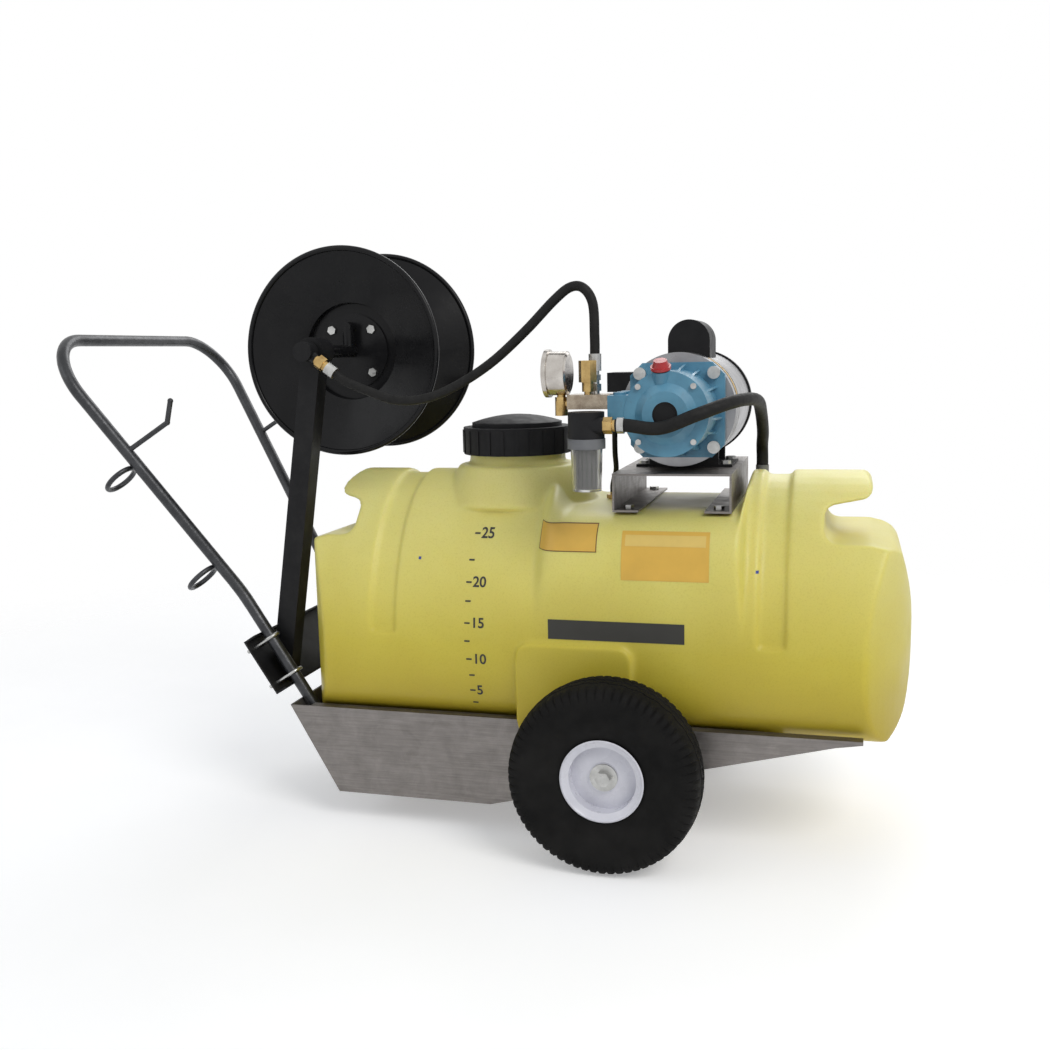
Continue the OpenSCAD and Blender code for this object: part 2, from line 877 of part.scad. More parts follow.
module reel_base() {
    tall = base_s1 - base_s0;
    color(black) in_plane() difference() {
        translate([base_s0, -base_half, -base_n - base_t])
            cube([tall, 2 * base_half, base_n + base_t - leg_r - weld]);
        translate([base_s0 + base_t, -base_half - 1, -base_n])
            cube([tall - 2 * base_t, 2 * base_half + 2, base_n]);
        for (s = ubolt_s, y = [-leg_y, leg_y], k = [-1, 1])
            translate([s, y + k * ubolt_y, -base_n - 10]) cylinder(d = ubolt_rod + 0.2, h = 20);
    }
}

module u_bolts() {
    long = base_n + base_t + 12;
    color(zinc) in_plane() for (s = ubolt_s, y = [-leg_y, leg_y]) translate([s, y, 0]) {
        rotate([90, 0, 90]) rotate_extrude(angle = 180, $fn = 48) translate([ubolt_y, 0])
            circle(d = ubolt_rod, $fn = 24);
        for (k = [-ubolt_y, ubolt_y]) {
            translate([0, k, -long]) cylinder(d = ubolt_rod, h = long);
            translate([0, k, -base_n - base_t - 6]) hex(10, 6);
        }
    }
}

module reel_post() {
    inside = post_w - 2 * post_wall;
    long = 620;
    color(black) difference() {
        union() {
            difference() {
                translate([reel_x, post_y, reel_z]) rotate([0, post_lean, 0]) difference() {
                    translate([-post_w / 2, -post_w / 2, -long]) cube([post_w, post_w, long]);
                    translate([-inside / 2, -inside / 2, -long - 1]) cube([inside, inside, long - post_w]);
                }
                in_plane() translate([base_s0 - 300, -300, -base_n - 400]) cube([1200, 600, 400 + weld]);
            }
            translate([reel_x, 0, reel_z]) along_y(boss_y0) cylinder(r = boss_out, h = boss_y1 - boss_y0);
        }
        translate([reel_x, 0, reel_z]) along_y(boss_y0 - 1)
            cylinder(r = spin_r + run_gap, h = boss_y1 - boss_y0 + 2);
    }
}

module reel_spindle() {
    color(black) translate([reel_x, 0, reel_z]) difference() {
        union() {
            along_y(boss_y0 - 22) cylinder(r = spin_r, h = crank_y - boss_y0 + 30);
            along_y(boss_y1 + slide_gap) cylinder(r = spin_r + 6, h = 12);
            along_y(floor_y0 - 4) cylinder(r = plate_r, h = 4);
            along_y(floor_y1) cylinder(r = plate_r, h = 4);
            translate([0, riser_y, 0]) cylinder(r = riser_r + 1, h = riser_up);
            translate([0, 0, riser_up]) along_y(riser_y - riser_r) cylinder(r = riser_r, h = 44 + 2 * riser_r);
            translate([0, outlet_y, riser_up]) cylinder(r = riser_r - 1, h = drum_r + 2 - riser_up);
            translate([0, outlet_y, drum_r + 1]) cylinder(r = riser_r, h = outlet_len);
        }
        for (k = [0 : 3]) rotate([0, 90 * k + 45, 0]) translate([hub_bolt_r, 0, 0])
            along_y(floor_y0 - 10) cylinder(d = 8.1, h = reel_w);
        along_y(boss_y0 - 23) cylinder(r = 4, h = riser_y - boss_y0 + 23);
        translate([0, riser_y, 0]) cylinder(r = 4, h = riser_up);
        translate([0, 0, riser_up]) along_y(riser_y - 4) cylinder(r = 4, h = 52);
        translate([0, outlet_y, riser_up]) cylinder(r = 4, h = drum_r);
    }
}

module reel_drum() {
    color(black) translate([reel_x, 0, reel_z]) difference() {
        along_y(floor_y0 + disc_t) tube(drum_r, drum_r - 2, floor_y1 - floor_y0 - 2 * disc_t);
        translate([0, outlet_y, 0]) cylinder(r = riser_r - 1 + weld, h = drum_r + 5);
    }
}

// dished disc, dish floor at height dish_deep above the rolled rim
module reel_disc() {
    difference() {
        rotate_extrude($fn = 120) {
            translate([reel_r - rim_bead, 0]) circle(rim_bead, $fn = 24);
            polygon([
                [reel_r - rim_bead, -disc_t / 2],
                [reel_r - rim_bead, disc_t / 2],
                [drum_r + 4, dish_deep - 10],
                [drum_r + 2, dish_deep + disc_t],
                [spin_r + weld, dish_deep + disc_t],
                [spin_r + weld, dish_deep],
                [drum_r, dish_deep],
                [drum_r + 2, dish_deep - 12]
            ]);
        }
        for (k = [0 : 3]) rotate(90 * k + 45) translate([hub_bolt_r, 0, 0]) cylinder(d = 8.1, h = 100);
    }
}

module reel_disc_near() {
    color(black) difference() {
        translate([reel_x, disc_y0, reel_z]) rotate([-90, 0, 0]) reel_disc();
        translate([reel_x, 0, reel_z + riser_up]) along_y(floor_y0 - 10) cylinder(r = riser_r + weld, h = 20);
    }
}

module reel_disc_far() {
    color(black) translate([reel_x, disc_y1, reel_z]) rotate([90, 0, 0]) reel_disc();
}

module hub_bolts() {
    color(zinc) translate([reel_x, 0, reel_z]) for (k = [0 : 3]) rotate([0, 90 * k + 45, 0])
        translate([hub_bolt_r, 0, 0]) {
            along_y(floor_y0 - 9) hex(13, 5);
            along_y(floor_y0 - 5) cylinder(d = 8, h = 14);
            translate([0, floor_y1 + 9, 0]) rotate([90, 0, 0]) hex(13, 5);
            translate([0, floor_y1 + 5, 0]) rotate([90, 0, 0]) cylinder(d = 8, h = 14);
        }
}

module inlet_swivel() {
    color(black) translate([reel_x, 0, reel_z]) difference() {
        union() {
            along_y(swivel_y - 14) cylinder(r = 15, h = 14 + boss_y0 - swivel_y - slide_gap);
            translate([0, swivel_y, 0]) rotate([0, 90 + swivel_drop, 0]) cylinder(r = 8, h = 20);
        }
        along_y(boss_y0 - 22 - slide_gap) cylinder(r = spin_r + run_gap, h = 40);
    }
}

module hose_fittings() {
    color(brass) {
        translate([reel_x, swivel_y, reel_z]) rotate([0, 90 + swivel_drop, 0]) {
            translate([0, 0, 20]) cylinder(r = 7, h = 6);
            translate([0, 0, 24]) hex(19, 12);
            translate([0, 0, 36]) cylinder(r = 8, h = fitting_len - 36);
        }
        translate([0, suction_y, suction_z]) {
            along_x(head_x + 27) hex(20, 12);
            along_x(head_x + 38) cylinder(r = 8, h = suction_x - head_x - 38);
        }
    }
}

module crank_arm() {
    color(grey) translate([reel_x, 0, reel_z]) rotate([0, crank_turn, 0]) difference() {
        union() {
            along_y(crank_y) cylinder(r = 16, h = 6);
            translate([0, crank_y, -9]) cube([crank_reach, 6, 18]);
            translate([crank_reach, 0, 0]) along_y(crank_y) cylinder(r = 9, h = 6);
            translate([crank_reach, 0, 0]) along_y(crank_y) cylinder(r = 4, h = knob_len + 12);
            translate([crank_reach, 0, 0]) along_y(crank_y + knob_len + 7) cylinder(r = 6, h = 3);
        }
        along_y(crank_y - 1) cylinder(r = spin_r + weld, h = 8);
    }
}

module crank_knob() {
    color(black) translate([reel_x, 0, reel_z]) rotate([0, crank_turn, 0]) translate([crank_reach, 0, 0])
        along_y(crank_y + 6 + slide_gap) tube(knob_r, 4 + run_gap, knob_len);
}

// ---- pump, motor and bracket ----

module pump_bracket() {
    color(steel) difference() {
        union() {
            translate([plate_x0, -plate_y, plate_z - sheet]) cube([bracket_w, bracket_len, sheet]);
            translate([plate_x0, -plate_y, deck_z]) cube([sheet, bracket_len, bracket_h]);
            translate([plate_x1 - sheet, -plate_y, deck_z]) cube([sheet, bracket_len, bracket_h]);
            translate([plate_x0, -plate_y, deck_z]) cube([foot_w, bracket_len, sheet]);
            translate([plate_x1 - foot_w, -plate_y, deck_z]) cube([foot_w, bracket_len, sheet]);
        }
        for (x = [plate_x0 + 20, plate_x1 - 20], y = [-115, 115])
            translate([x, y, deck_z - 1]) cylinder(d = 8.1, h = sheet + 2);
        for (x = [-62, 62], y = [-38, 38])
            translate([motor_x + x, cradle_y + y, plate_z - sheet - 1]) cylinder(d = 8.1, h = sheet + 2);
    }
}

module frame_bolts() {
    color(zinc) {
        in_plane() both_sides() translate([bolt_s, leg_y, 0]) {
            translate([0, 0, leg_r]) hex_bolt(8, 13, 5, 2 * leg_r + 16);
            translate([0, 0, -leg_r - 13.6]) hex(13, 6);
        }
        for (x = [plate_x0 + 20, plate_x1 - 20], y = [-115, 115])
            translate([x, y, deck_z + sheet]) hex_bolt(8, 13, 5, 12);
        for (x = [-62, 62], y = [-38, 38])
            translate([motor_x + x, cradle_y + y, plate_z + 4]) hex_bolt(8, 13, 5, 12);
    }
}

module motor_cradle() {
    color(black) difference() {
        union() {
            translate([motor_x - 72, cradle_y - 50, plate_z]) cube([144, 100, 4]);
            for (y = [cradle_y - 50, cradle_y + 44])
                translate([motor_x - 52, y, plate_z]) cube([104, 6, 36]);
        }
        translate([motor_x, 0, motor_z]) along_y(cradle_y - 60) cylinder(r = motor_r + weld, h = 120, $fn = 96);
        for (x = [-62, 62], y = [-38, 38])
            translate([motor_x + x, cradle_y + y, plate_z - 1]) cylinder(d = 8.1, h = 6);
    }
}

module motor_shell() {
    color(zinc) translate([motor_x, 0, motor_z]) along_y(shell_y0) difference() {
        cylinder(r = motor_r, h = motor_len, $fn = 96);
        translate([0, 0, -1]) cylinder(r = motor_r - 4, h = motor_len + 2, $fn = 96);
    }
}

module motor_front() {
    color(zinc) translate([motor_x, 0, motor_z]) difference() {
        along_y(face_y) cylinder(r = motor_r, h = shell_y0 - face_y, $fn = 96);
        along_y(face_y + 8) cylinder(r = motor_r - 12, h = 40, $fn = 96);
        along_y(face_y - 1) cylinder(r = shaft_r + run_gap, h = 20);
        for (x = [-stud_off, stud_off], z = [-stud_off, stud_off])
            translate([x, 0, z]) along_y(face_y - 1) cylinder(d = 10.1, h = 30);
    }
}

module motor_bell() {
    color(black) translate([motor_x, 0, motor_z]) difference() {
        union() {
            along_y(shell_y1) cylinder(r = motor_r + 3, h = 12, $fn = 96);
            along_y(shell_y1 + 12)
                cylinder(r1 = motor_r + 3, r2 = motor_r - 12, h = bell_y1 - shell_y1 - 12, $fn = 96);
        }
        along_y(shell_y1 - 1) cylinder(r = motor_r - 16, h = bell_y1 - shell_y1 - 5, $fn = 96);
        for (k = [0 : 7]) rotate([0, 45 * k, 0]) translate([42, 0, 0])
            along_y(shell_y1) cylinder(r = 7, h = 60);
    }
}

module motor_rotor() {
    color(black) translate([motor_x, 0, motor_z]) {
        along_y(case_y + 12) cylinder(r = shaft_r, h = bell_y1 - case_y - 24);
        along_y(shell_y0 + 30) cylinder(r = 60, h = motor_len - 80, $fn = 72);
        translate([5, 0, 0]) along_y(case_y + 30) cylinder(r = 18, h = 26);
        along_y(shell_y1 - 22) cylinder(r = 16, h = 16);
        for (k = [0 : 5]) rotate([0, 60 * k, 0]) translate([10, shell_y1 - 22, -1.5]) cube([50, 16, 3]);
    }
}

module capacitor_cover() {
    color(black) difference() {
        translate([motor_x + 8, cap_y, 0]) rotate([90, 0, 0]) translate([0, 0, -40]) linear_extrude(80) {
            translate([0, motor_z + 99]) circle(31);
            translate([-31, motor_z + 66]) square([62, 33]);
        }
        translate([motor_x, 0, motor_z]) along_y(-200) cylinder(r = motor_r + weld, h = 400, $fn = 96);
    }
}

module conduit_box() {
    color(black) difference() {
        union() {
            translate([motor_x - 126, 10, motor_z + 23]) cube([70, 60, 30]);
            translate([motor_x - 110, 0, motor_z + 38]) along_y(69) cylinder(r = 7, h = 14);
        }
        translate([motor_x, 0, motor_z]) along_y(-200) cylinder(r = motor_r + weld, h = 400, $fn = 96);
        translate([motor_x - 110, 0, motor_z + 38]) along_y(60) cylinder(r = 4, h = 40);
    }
}

module pump_case() {
    corner = 68;
    cut = 18;
    color(blue) translate([motor_x, 0, motor_z]) difference() {
        union() {
            rotate([90, 0, 0]) translate([0, 0, 95]) linear_extrude(12) polygon([
                [-corner, cut - corner],
                [cut - corner, -corner],
                [corner - cut, -corner],
                [corner, cut - corner],
                [corner, corner - cut],
                [corner - cut, corner],
                [cut - corner, corner],
                [-corner, corner - cut]
            ]);
            along_y(case_y) cylinder(r = case_r, h = face_y - case_y - 6, $fn = 72);
            translate([oil_x - motor_x, oil_y, 0]) rotate([oil_tilt, 0, 0]) cylinder(r = 13, h = case_r + 6);
            for (k = [10, 30, 60, 80, 100, 120, 240, 260, 280, 300, 330, 350]) rotate([0, k, 0])
                translate([0, 0, -1.5]) linear_extrude(3)
                    polygon([[case_r - 4, -178], [case_r + 3, -150], [case_r + 8, -106], [case_r - 4, -106]]);
        }
        along_y(case_y - 1) cylinder(r = case_r - 10, h = face_y - case_y - 9, $fn = 72);
        along_y(face_y - 20) cylinder(r = shaft_r + run_gap, h = 30);
        translate([oil_x - motor_x, oil_y, 0]) rotate([oil_tilt, 0, 0]) cylinder(r = 6.1, h = 90);
        for (x = [-stud_off, stud_off], z = [-stud_off, stud_off])
            translate([x, 0, z]) along_y(-120) cylinder(d = 10.1, h = 40);
        for (k = [0 : 3]) rotate([0, 90 * k + 45, 0]) translate([case_r - 5, 0, 0])
            along_y(case_y - 1) cylinder(d = 5.1, h = 12);
    }
}

module pump_cover() {
    color(blue) translate([motor_x, 0, motor_z]) difference() {
        union() {
            along_y(cover_y) cylinder(r = case_r, h = case_y - cover_y, $fn = 72);
            along_y(boss_y) cylinder(r1 = boss_r - 12, r2 = boss_r, h = cover_y - boss_y + 1, $fn = 72);
        }
        along_y(boss_y - 1) cylinder(r = 17 + weld, h = 7);
        for (k = [0 : 3]) rotate([0, 90 * k + 45, 0]) translate([case_r - 5, 0, 0])
            along_y(cover_y - 1) cylinder(d = 5.1, h = 12);
        translate([oil_x - motor_x, oil_y, 0]) rotate([oil_tilt, 0, 0]) cylinder(r = 13 + weld, h = 90);
    }
}

module sight_glass() {
    color(black) translate([motor_x, 0, motor_z]) {
        along_y(boss_y - 2) cylinder(r = 14, h = 3);
        along_y(boss_y) cylinder(r = 17, h = 6);
    }
}

module pump_studs() {
    color(zinc) translate([motor_x, 0, motor_z]) {
        for (x = [-stud_off, stud_off], z = [-stud_off, stud_off]) translate([x, 0, z]) {
            along_y(face_y - 20) cylinder(r = 9, h = 8);
            along_y(face_y - 13) cylinder(d = 10, h = 28);
        }
        for (k = [0 : 3]) rotate([0, 90 * k + 45, 0]) translate([case_r - 5, 0, 0]) {
            along_y(cover_y - 4) cylinder(r = 4, h = 4);
            along_y(cover_y - 1) cylinder(d = 5, h = 16);
        }
    }
}

module oil_place(up) {
    translate([oil_x, oil_y, motor_z]) rotate([oil_tilt, 0, 0]) translate([0, 0, up]) children();
}

module oil_cap() {
    color(red) oil_place(case_r + 8) {
        cylinder(r = 14, h = 4);
        translate([0, 0, 3]) cylinder(r1 = 12, r2 = 9, h = 9);
        translate([0, 0, -14]) cylinder(r = 6, h = 15);
    }
}

module oil_cap_seal() {
    color(rubber) oil_place(case_r + 6) tube(12, 6 + weld, 2);
}

module pump_manifold() {
    color(blue) difference() {
        union() {
            translate([block_x1, -215, motor_z - 20]) cube([46, 95, 46]);
            for (y = [-198, -168, -138]) translate([block_x1 + 14, y, motor_z + 20]) cylinder(r = 9, h = 10);
        }
        translate([motor_x, 0, motor_z]) along_y(-300) cylinder(r = case_r + weld, h = 300, $fn = 72);
        translate([0, -181, line_z]) along_x(block_x1 - 1) cylinder(r = 6, h = 20);
    }
}

// ---- plumbing ----

module valve_body() {
    color(chrome) difference() {
        translate([block_x0, block_y0, block_z]) cube([block_x1 - block_x0, block_y1 - block_y0, block_h]);
        translate([reg_x, reg_y, block_z + 2]) cylinder(r = 5 + run_gap, h = block_h);
    }
}

module regulator_stem() {
    color(brass) translate([reg_x, reg_y, block_z + 6]) cylinder(r = 5, h = block_h + 20);
}

module regulator_knob() {
    color(brass) translate([reg_x, reg_y, block_z + block_h + 4]) difference() {
        union() {
            cylinder(r = 8, h = 14);
            translate([0, 0, 13]) hex(22, 30);
        }
        translate([0, 0, -1]) cylinder(r = 5 + run_gap, h = 26);
    }
}

module gauge_elbow() {
    color(brass) {
        translate([stem_x, stem_y, block_z - 9]) cylinder(r = 9, h = 21);
        translate([stem_x, stem_y, block_z + 11]) hex(16, 6);
        translate([stem_x, stem_y, block_z + 12]) cylinder(r = 6, h = stem_top - weld - block_z - 12);
        translate([0, stem_y, block_z + 8]) along_x(stem_x + 4) cylinder(r = 6, h = block_x0 - stem_x - 4);
    }
}

module gauge_case() {
    color(chrome) translate([gauge_x, stem_y, gauge_z]) difference() {
        union() {
            along_x(-16) cylinder(r = gauge_r, h = 6, $fn = 72);
            along_x(-11) cylinder(r = gauge_r - 3, h = 26, $fn = 72);
            along_x(14) cylinder(r1 = gauge_r - 3, r2 = gauge_r - 7, h = 3, $fn = 72);
        }
        along_x(-17) cylinder(r = gauge_r - 5, h = 13, $fn = 72);
        translate([stem_x - gauge_x, 0, stem_top - gauge_z - 20]) cylinder(r = 6 + weld, h = 20);
    }
}

module gauge_dial() {
    color(white) translate([gauge_x, stem_y, gauge_z]) difference() {
        along_x(-6) cylinder(r = gauge_r - 5 - weld, h = 2, $fn = 72);
        along_x(-7) cylinder(r = 1.5 + run_gap, h = 4);
    }
}

module gauge_needle() {
    color(black) translate([gauge_x, stem_y, gauge_z]) {
        along_x(-11) cylinder(r = 3, h = 2);
        along_x(-10) cylinder(r = 1.5, h = 5.8);
        rotate([45, 0, 0]) translate([-10.5, -1, -20]) cube([1.2, 2, 28]);
    }
}

module gauge_lens() {
    color(clear) translate([gauge_x, stem_y, gauge_z]) along_x(-14)
        cylinder(r = gauge_r - 5 - weld, h = 2, $fn = 72);
}

module hose_ends() {
    color(zinc) {
        translate([out_x, out_y, block_z + block_h]) {
            cylinder(r = 6, h = out_top - block_z - block_h + 1);
            translate([0, 0, 4]) hex(15, 10);
            translate([0, 0, 19]) hex(14, 8);
        }
        translate([out_x, out_y, out_top]) cylinder(r = pressure_od / 2 + 2, h = ferrule_len);
        translate([reel_x, swivel_y, reel_z]) rotate([0, 90 + swivel_drop, 0])
            translate([0, 0, fitting_len - 16]) tube(pressure_od / 2 + 3, 8 + weld, 16);
        translate([0, suction_y, suction_z]) along_x(suction_x + 3)
            tube(suction_od / 2 + 2, suction_od / 2 + 0.15, 9);
    }
}

module strainer_head() {
    color(black) difference() {
        union() {
            translate([head_x, head_y, head_z]) cylinder(r = head_r, h = head_h);
            translate([head_x, head_y, head_z - 7]) cylinder(r = bowl_r + 1, h = 8);
            translate([0, suction_y, suction_z]) along_x(head_x) cylinder(r = 11, h = 27);
            translate([0, -207, suction_z]) along_x(head_x) cylinder(r = 7, h = block_x1 - head_x);
        }
        translate([head_x, head_y, head_z - 8]) cylinder(r = bowl_r - 3, h = 22);
    }
}

module strainer_collar() {
    color(grey) translate([head_x, head_y, 0]) difference() {
        translate([0, 0, head_z - 14]) cylinder(r = head_r + 1, h = 14 - slide_gap);
        translate([0, 0, head_z - 11]) cylinder(r = bowl_r + 1 + slide_gap, h = 20);
        translate([0, 0, head_z - 15]) cylinder(r = bowl_r + slide_gap, h = 10);
    }
}

module strainer_bowl() {
    color(clear) translate([head_x, head_y, head_z - 11 - bowl_h]) difference() {
        union() {
            cylinder(r1 = bowl_r - 2, r2 = bowl_r, h = bowl_h - 3);
            translate([0, 0, bowl_h - 4]) cylinder(r = bowl_r, h = 6);
            translate([0, 0, bowl_h + weld]) cylinder(r = bowl_r + 1, h = 4 - weld - slide_gap);
        }
        translate([0, 0, 3]) cylinder(r1 = bowl_r - 4.5, r2 = bowl_r - 2.5, h = bowl_h + 3);
    }
}

module strainer_screen() {
    color(grey) translate([head_x, head_y, head_z - 11 - bowl_h + 3]) difference() {
        cylinder(r = bowl_r - 8, h = bowl_h);
        translate([0, 0, 2]) cylinder(r = bowl_r - 10, h = bowl_h);
    }
}

module pressure_hose() {
    color(rubber) hose(pressure_route, 3, pressure_od, 12, [0, 1, 0]);
}

module suction_hose() {
    color(rubber) hose(suction_route, 2, suction_od, 12, [1, -1, -1]);
}

module bypass_line() {
    color(rubber) hose(bypass_route, 2, bypass_od, 8, [1, 0, 0]);
}
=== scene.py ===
import json
import math

import bmesh
import bpy
from mathutils import Matrix, Vector
from mathutils.bvhtree import BVHTree


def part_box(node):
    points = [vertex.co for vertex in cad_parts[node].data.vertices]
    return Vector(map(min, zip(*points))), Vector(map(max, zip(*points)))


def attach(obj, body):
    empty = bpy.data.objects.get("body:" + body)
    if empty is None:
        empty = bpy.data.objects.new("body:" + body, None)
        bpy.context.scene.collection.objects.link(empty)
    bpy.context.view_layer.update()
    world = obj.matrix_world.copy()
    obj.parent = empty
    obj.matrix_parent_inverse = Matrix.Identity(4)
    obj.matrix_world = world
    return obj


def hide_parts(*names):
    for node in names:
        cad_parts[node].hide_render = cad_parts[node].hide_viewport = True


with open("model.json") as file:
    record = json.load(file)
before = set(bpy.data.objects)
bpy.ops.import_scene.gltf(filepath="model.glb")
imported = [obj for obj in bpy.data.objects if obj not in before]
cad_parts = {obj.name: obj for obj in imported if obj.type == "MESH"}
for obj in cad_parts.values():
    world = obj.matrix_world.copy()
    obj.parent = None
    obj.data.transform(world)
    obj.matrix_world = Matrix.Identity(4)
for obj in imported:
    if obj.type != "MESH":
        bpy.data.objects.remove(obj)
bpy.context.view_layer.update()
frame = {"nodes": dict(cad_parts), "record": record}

# ---------------------------------------------------------------- camera and light

# fitted to the photograph, in metres and in its own pixels
EYE = Vector((0.551, -1.751, 0.718))
RIGHT = Vector((0.96273, 0.26957, -0.0232)).normalized()
AHEAD = Vector((-0.26992, 0.95144, -0.14782)).normalized()
UP = RIGHT.cross(AHEAD).normalized()
SENSOR_MM = 36.0
FOCAL_PX = 1140
PHOTO_PX = 1050

camera = bpy.data.objects.new("camera", bpy.data.cameras.new("camera"))
camera.data.sensor_width = SENSOR_MM
camera.data.lens = SENSOR_MM * FOCAL_PX / PHOTO_PX
camera.data.clip_end = 60
camera.matrix_world = Matrix((
    (RIGHT.x, UP.x, -AHEAD.x, EYE.x),
    (RIGHT.y, UP.y, -AHEAD.y, EYE.y),
    (RIGHT.z, UP.z, -AHEAD.z, EYE.z),
    (0, 0, 0, 1),
))
bpy.context.scene.collection.objects.link(camera)
bpy.context.scene.camera = camera
bpy.context.scene.view_settings.view_transform = "Standard"


def area_light(name, place, target, size, power, tint=(1, 1, 1)):
    light = bpy.data.lights.new(name, "AREA")
    light.shape = "DISK"
    light.size = size
    light.energy = power
    light.color = tint
    holder = bpy.data.objects.new(name, light)
    holder.location = place
    holder.rotation_euler = (Vector(target) - Vector(place)).to_track_quat("-Z", "Y").to_euler()
    bpy.context.scene.collection.objects.link(holder)


area_light("key", (2.4, -2.2, 3.0), (0.1, 0, 0.4), 2.0, 66, (1.0, 0.985, 0.96))
area_light("fill", (-2.6, -2.4, 2.2), (0, 0, 0.4), 2.6, 12, (0.95, 0.98, 1.0))
area_light("rim", (0.4, 2.8, 2.8), (0, 0, 0.5), 2.4, 34)

def larger(tree, a, b):
    """Socket that carries the larger of two values."""
    made = tree.nodes.new("ShaderNodeMath")
    made.operation = "MAXIMUM"
    tree.links.new(a, made.inputs[0])
    tree.links.new(b, made.inputs[1])
    return made.outputs[0]


# the camera, mirrors and clear pieces see plain white, and the rest is lit by a soft sky
SEEN_STRENGTH = 1.0
LIT_STRENGTH = 0.5
world = bpy.data.worlds.new("studio")
bpy.context.scene.world = world
world.use_nodes = True
tree = world.node_tree
tree.nodes.clear()
path = tree.nodes.new("ShaderNodeLightPath")
seen = tree.nodes.new("ShaderNodeBackground")
seen.inputs["Color"].default_value = (1, 1, 1, 1)
seen.inputs["Strength"].default_value = SEEN_STRENGTH
lit = tree.nodes.new("ShaderNodeBackground")
lit.inputs["Strength"].default_value = LIT_STRENGTH
sky = tree.nodes.new("ShaderNodeTexCoord")
height = tree.nodes.new("ShaderNodeSeparateXYZ")
ramp = tree.nodes.new("ShaderNodeValToRGB")
ramp.color_ramp.elements[0].position = 0.35
ramp.color_ramp.elements[0].color = (0.16, 0.16, 0.15, 1)
ramp.color_ramp.elements[1].position = 0.75
ramp.color_ramp.elements[1].color = (0.92, 0.95, 1.0, 1)
lift = tree.nodes.new("ShaderNodeMapRange")
lift.inputs["From Min"].default_value = -1
lift.inputs["From Max"].default_value = 1
pick = tree.nodes.new("ShaderNodeMixShader")
out = tree.nodes.new("ShaderNodeOutputWorld")
tree.links.new(sky.outputs["Generated"], height.inputs[0])
tree.links.new(height.outputs["Z"], lift.inputs["Value"])
tree.links.new(lift.outputs[0], ramp.inputs[0])
tree.links.new(ramp.outputs[0], lit.inputs["Color"])
rays = path.outputs
white = larger(tree, larger(tree, rays["Is Camera Ray"], rays["Is Glossy Ray"]), rays["Is Transmission Ray"])
tree.links.new(white, pick.inputs[0])
tree.links.new(lit.outputs[0], pick.inputs[1])
tree.links.new(seen.outputs[0], pick.inputs[2])
tree.links.new(pick.outputs[0], out.inputs["Surface"])

# ---------------------------------------------------------------- materials


class Graph:
    """Small helper that strings shader nodes together."""

    def __init__(self, name):
        self.mat = bpy.data.materials.new(name)
        self.mat.use_nodes = True
        self.tree = self.mat.node_tree
        self.shader = self.tree.nodes["Principled BSDF"]
        coords = self.add("ShaderNodeTexCoord")
        self.place = coords.outputs["Object"]

    def add(self, kind, **sockets):
        made = self.tree.nodes.new(kind)
        for key, value in sockets.items():
            made.inputs[key.replace("_", " ")].default_value = value
        return made

    def link(self, a, b):
        self.tree.links.new(a, b)

    def stretched(self, scale):
        mapping = self.add("ShaderNodeMapping")
        mapping.inputs["Scale"].default_value = scale
        self.link(self.place, mapping.inputs["Vector"])
        return mapping.outputs[0]

    def noise(self, scale, detail=4.0, rough=0.55, stretch=None, distort=0.0):
        made = self.add("ShaderNodeTexNoise", Scale=scale, Detail=detail, Roughness=rough, Distortion=distort)
        self.link(self.stretched(stretch) if stretch else self.place, made.inputs["Vector"])
        return made.outputs["Fac"]

    def ranged(self, value, low, high, start=0.3, end=0.7):
        made = self.add("ShaderNodeMapRange")
        for socket, number in zip(("From Min", "From Max", "To Min", "To Max"), (start, end, low, high)):
            made.inputs[socket].default_value = number
        self.link(value, made.inputs["Value"])
        return made.outputs[0]

    def ramp(self, value, stops):
        made = self.add("ShaderNodeValToRGB")
        marks = made.color_ramp.elements
        while len(marks) < len(stops):
            marks.new(0.5)
        for mark, (position, color) in zip(marks, stops):
            mark.position = position
            mark.color = (*color, 1)
        self.link(value, made.inputs[0])
        return made.outputs[0]

    def mix(self, factor, a, b, mode="MIX"):
        made = self.add("ShaderNodeMix")
        made.data_type = "RGBA"
        made.blend_type = mode
        if isinstance(factor, float):
            made.inputs[0].default_value = factor
        else:
            self.link(factor, made.inputs[0])
        for socket, value in ((6, a), (7, b)):
            if isinstance(value, tuple):
                made.inputs[socket].default_value = (*value, 1)
            else:
                self.link(value, made.inputs[socket])
        return made.outputs[2]

    def bump(self, value, strength, distance=0.001, below=None):
        made = self.add("ShaderNodeBump", Strength=strength, Distance=distance)
        self.link(value, made.inputs["Height"])
        if below:
            self.link(below, made.inputs["Normal"])
        return made.outputs[0]

    def finish(self, color, roughness, normal=None, **sockets):
        self.link(color, self.shader.inputs["Base Color"])
        self.link(roughness, self.shader.inputs["Roughness"])
        if normal:
            self.link(normal, self.shader.inputs["Normal"])
        for key, value in sockets.items():
            self.shader.inputs[key.replace("_", " ")].default_value = value
        return self.mat


def dull(name, low, high, rough=(0.5, 0.65), metal=0.0, scale=30.0, grain=900.0, bump=0.15, depth=0.0004,
         **more):
    """Mottled finish with a fine grain."""
    g = Graph(name)
    color = g.ramp(g.noise(scale, 6), [(0.3, low), (0.7, high)])
    roughness = g.ranged(g.noise(scale * 2.3, 5), rough[0], rough[1])
    return g.finish(color, roughness, g.bump(g.noise(grain, 3), bump, depth), Metallic=metal, **more)


# painted shade on the tank: its colours from its foot to its top, darker and more golden towards the foot,
# and the heights between which they change
TANK_PAINTED_SHADE = (
    (0.0, (0.45, 0.335, 0.008)),
    (0.35, (0.66, 0.56, 0.075)),
    (0.65, (0.83, 0.745, 0.21)),
    (1.0, (0.90, 0.84, 0.33)),
)
TANK_PAINTED_SHADE_Z = (0.16, 0.54)


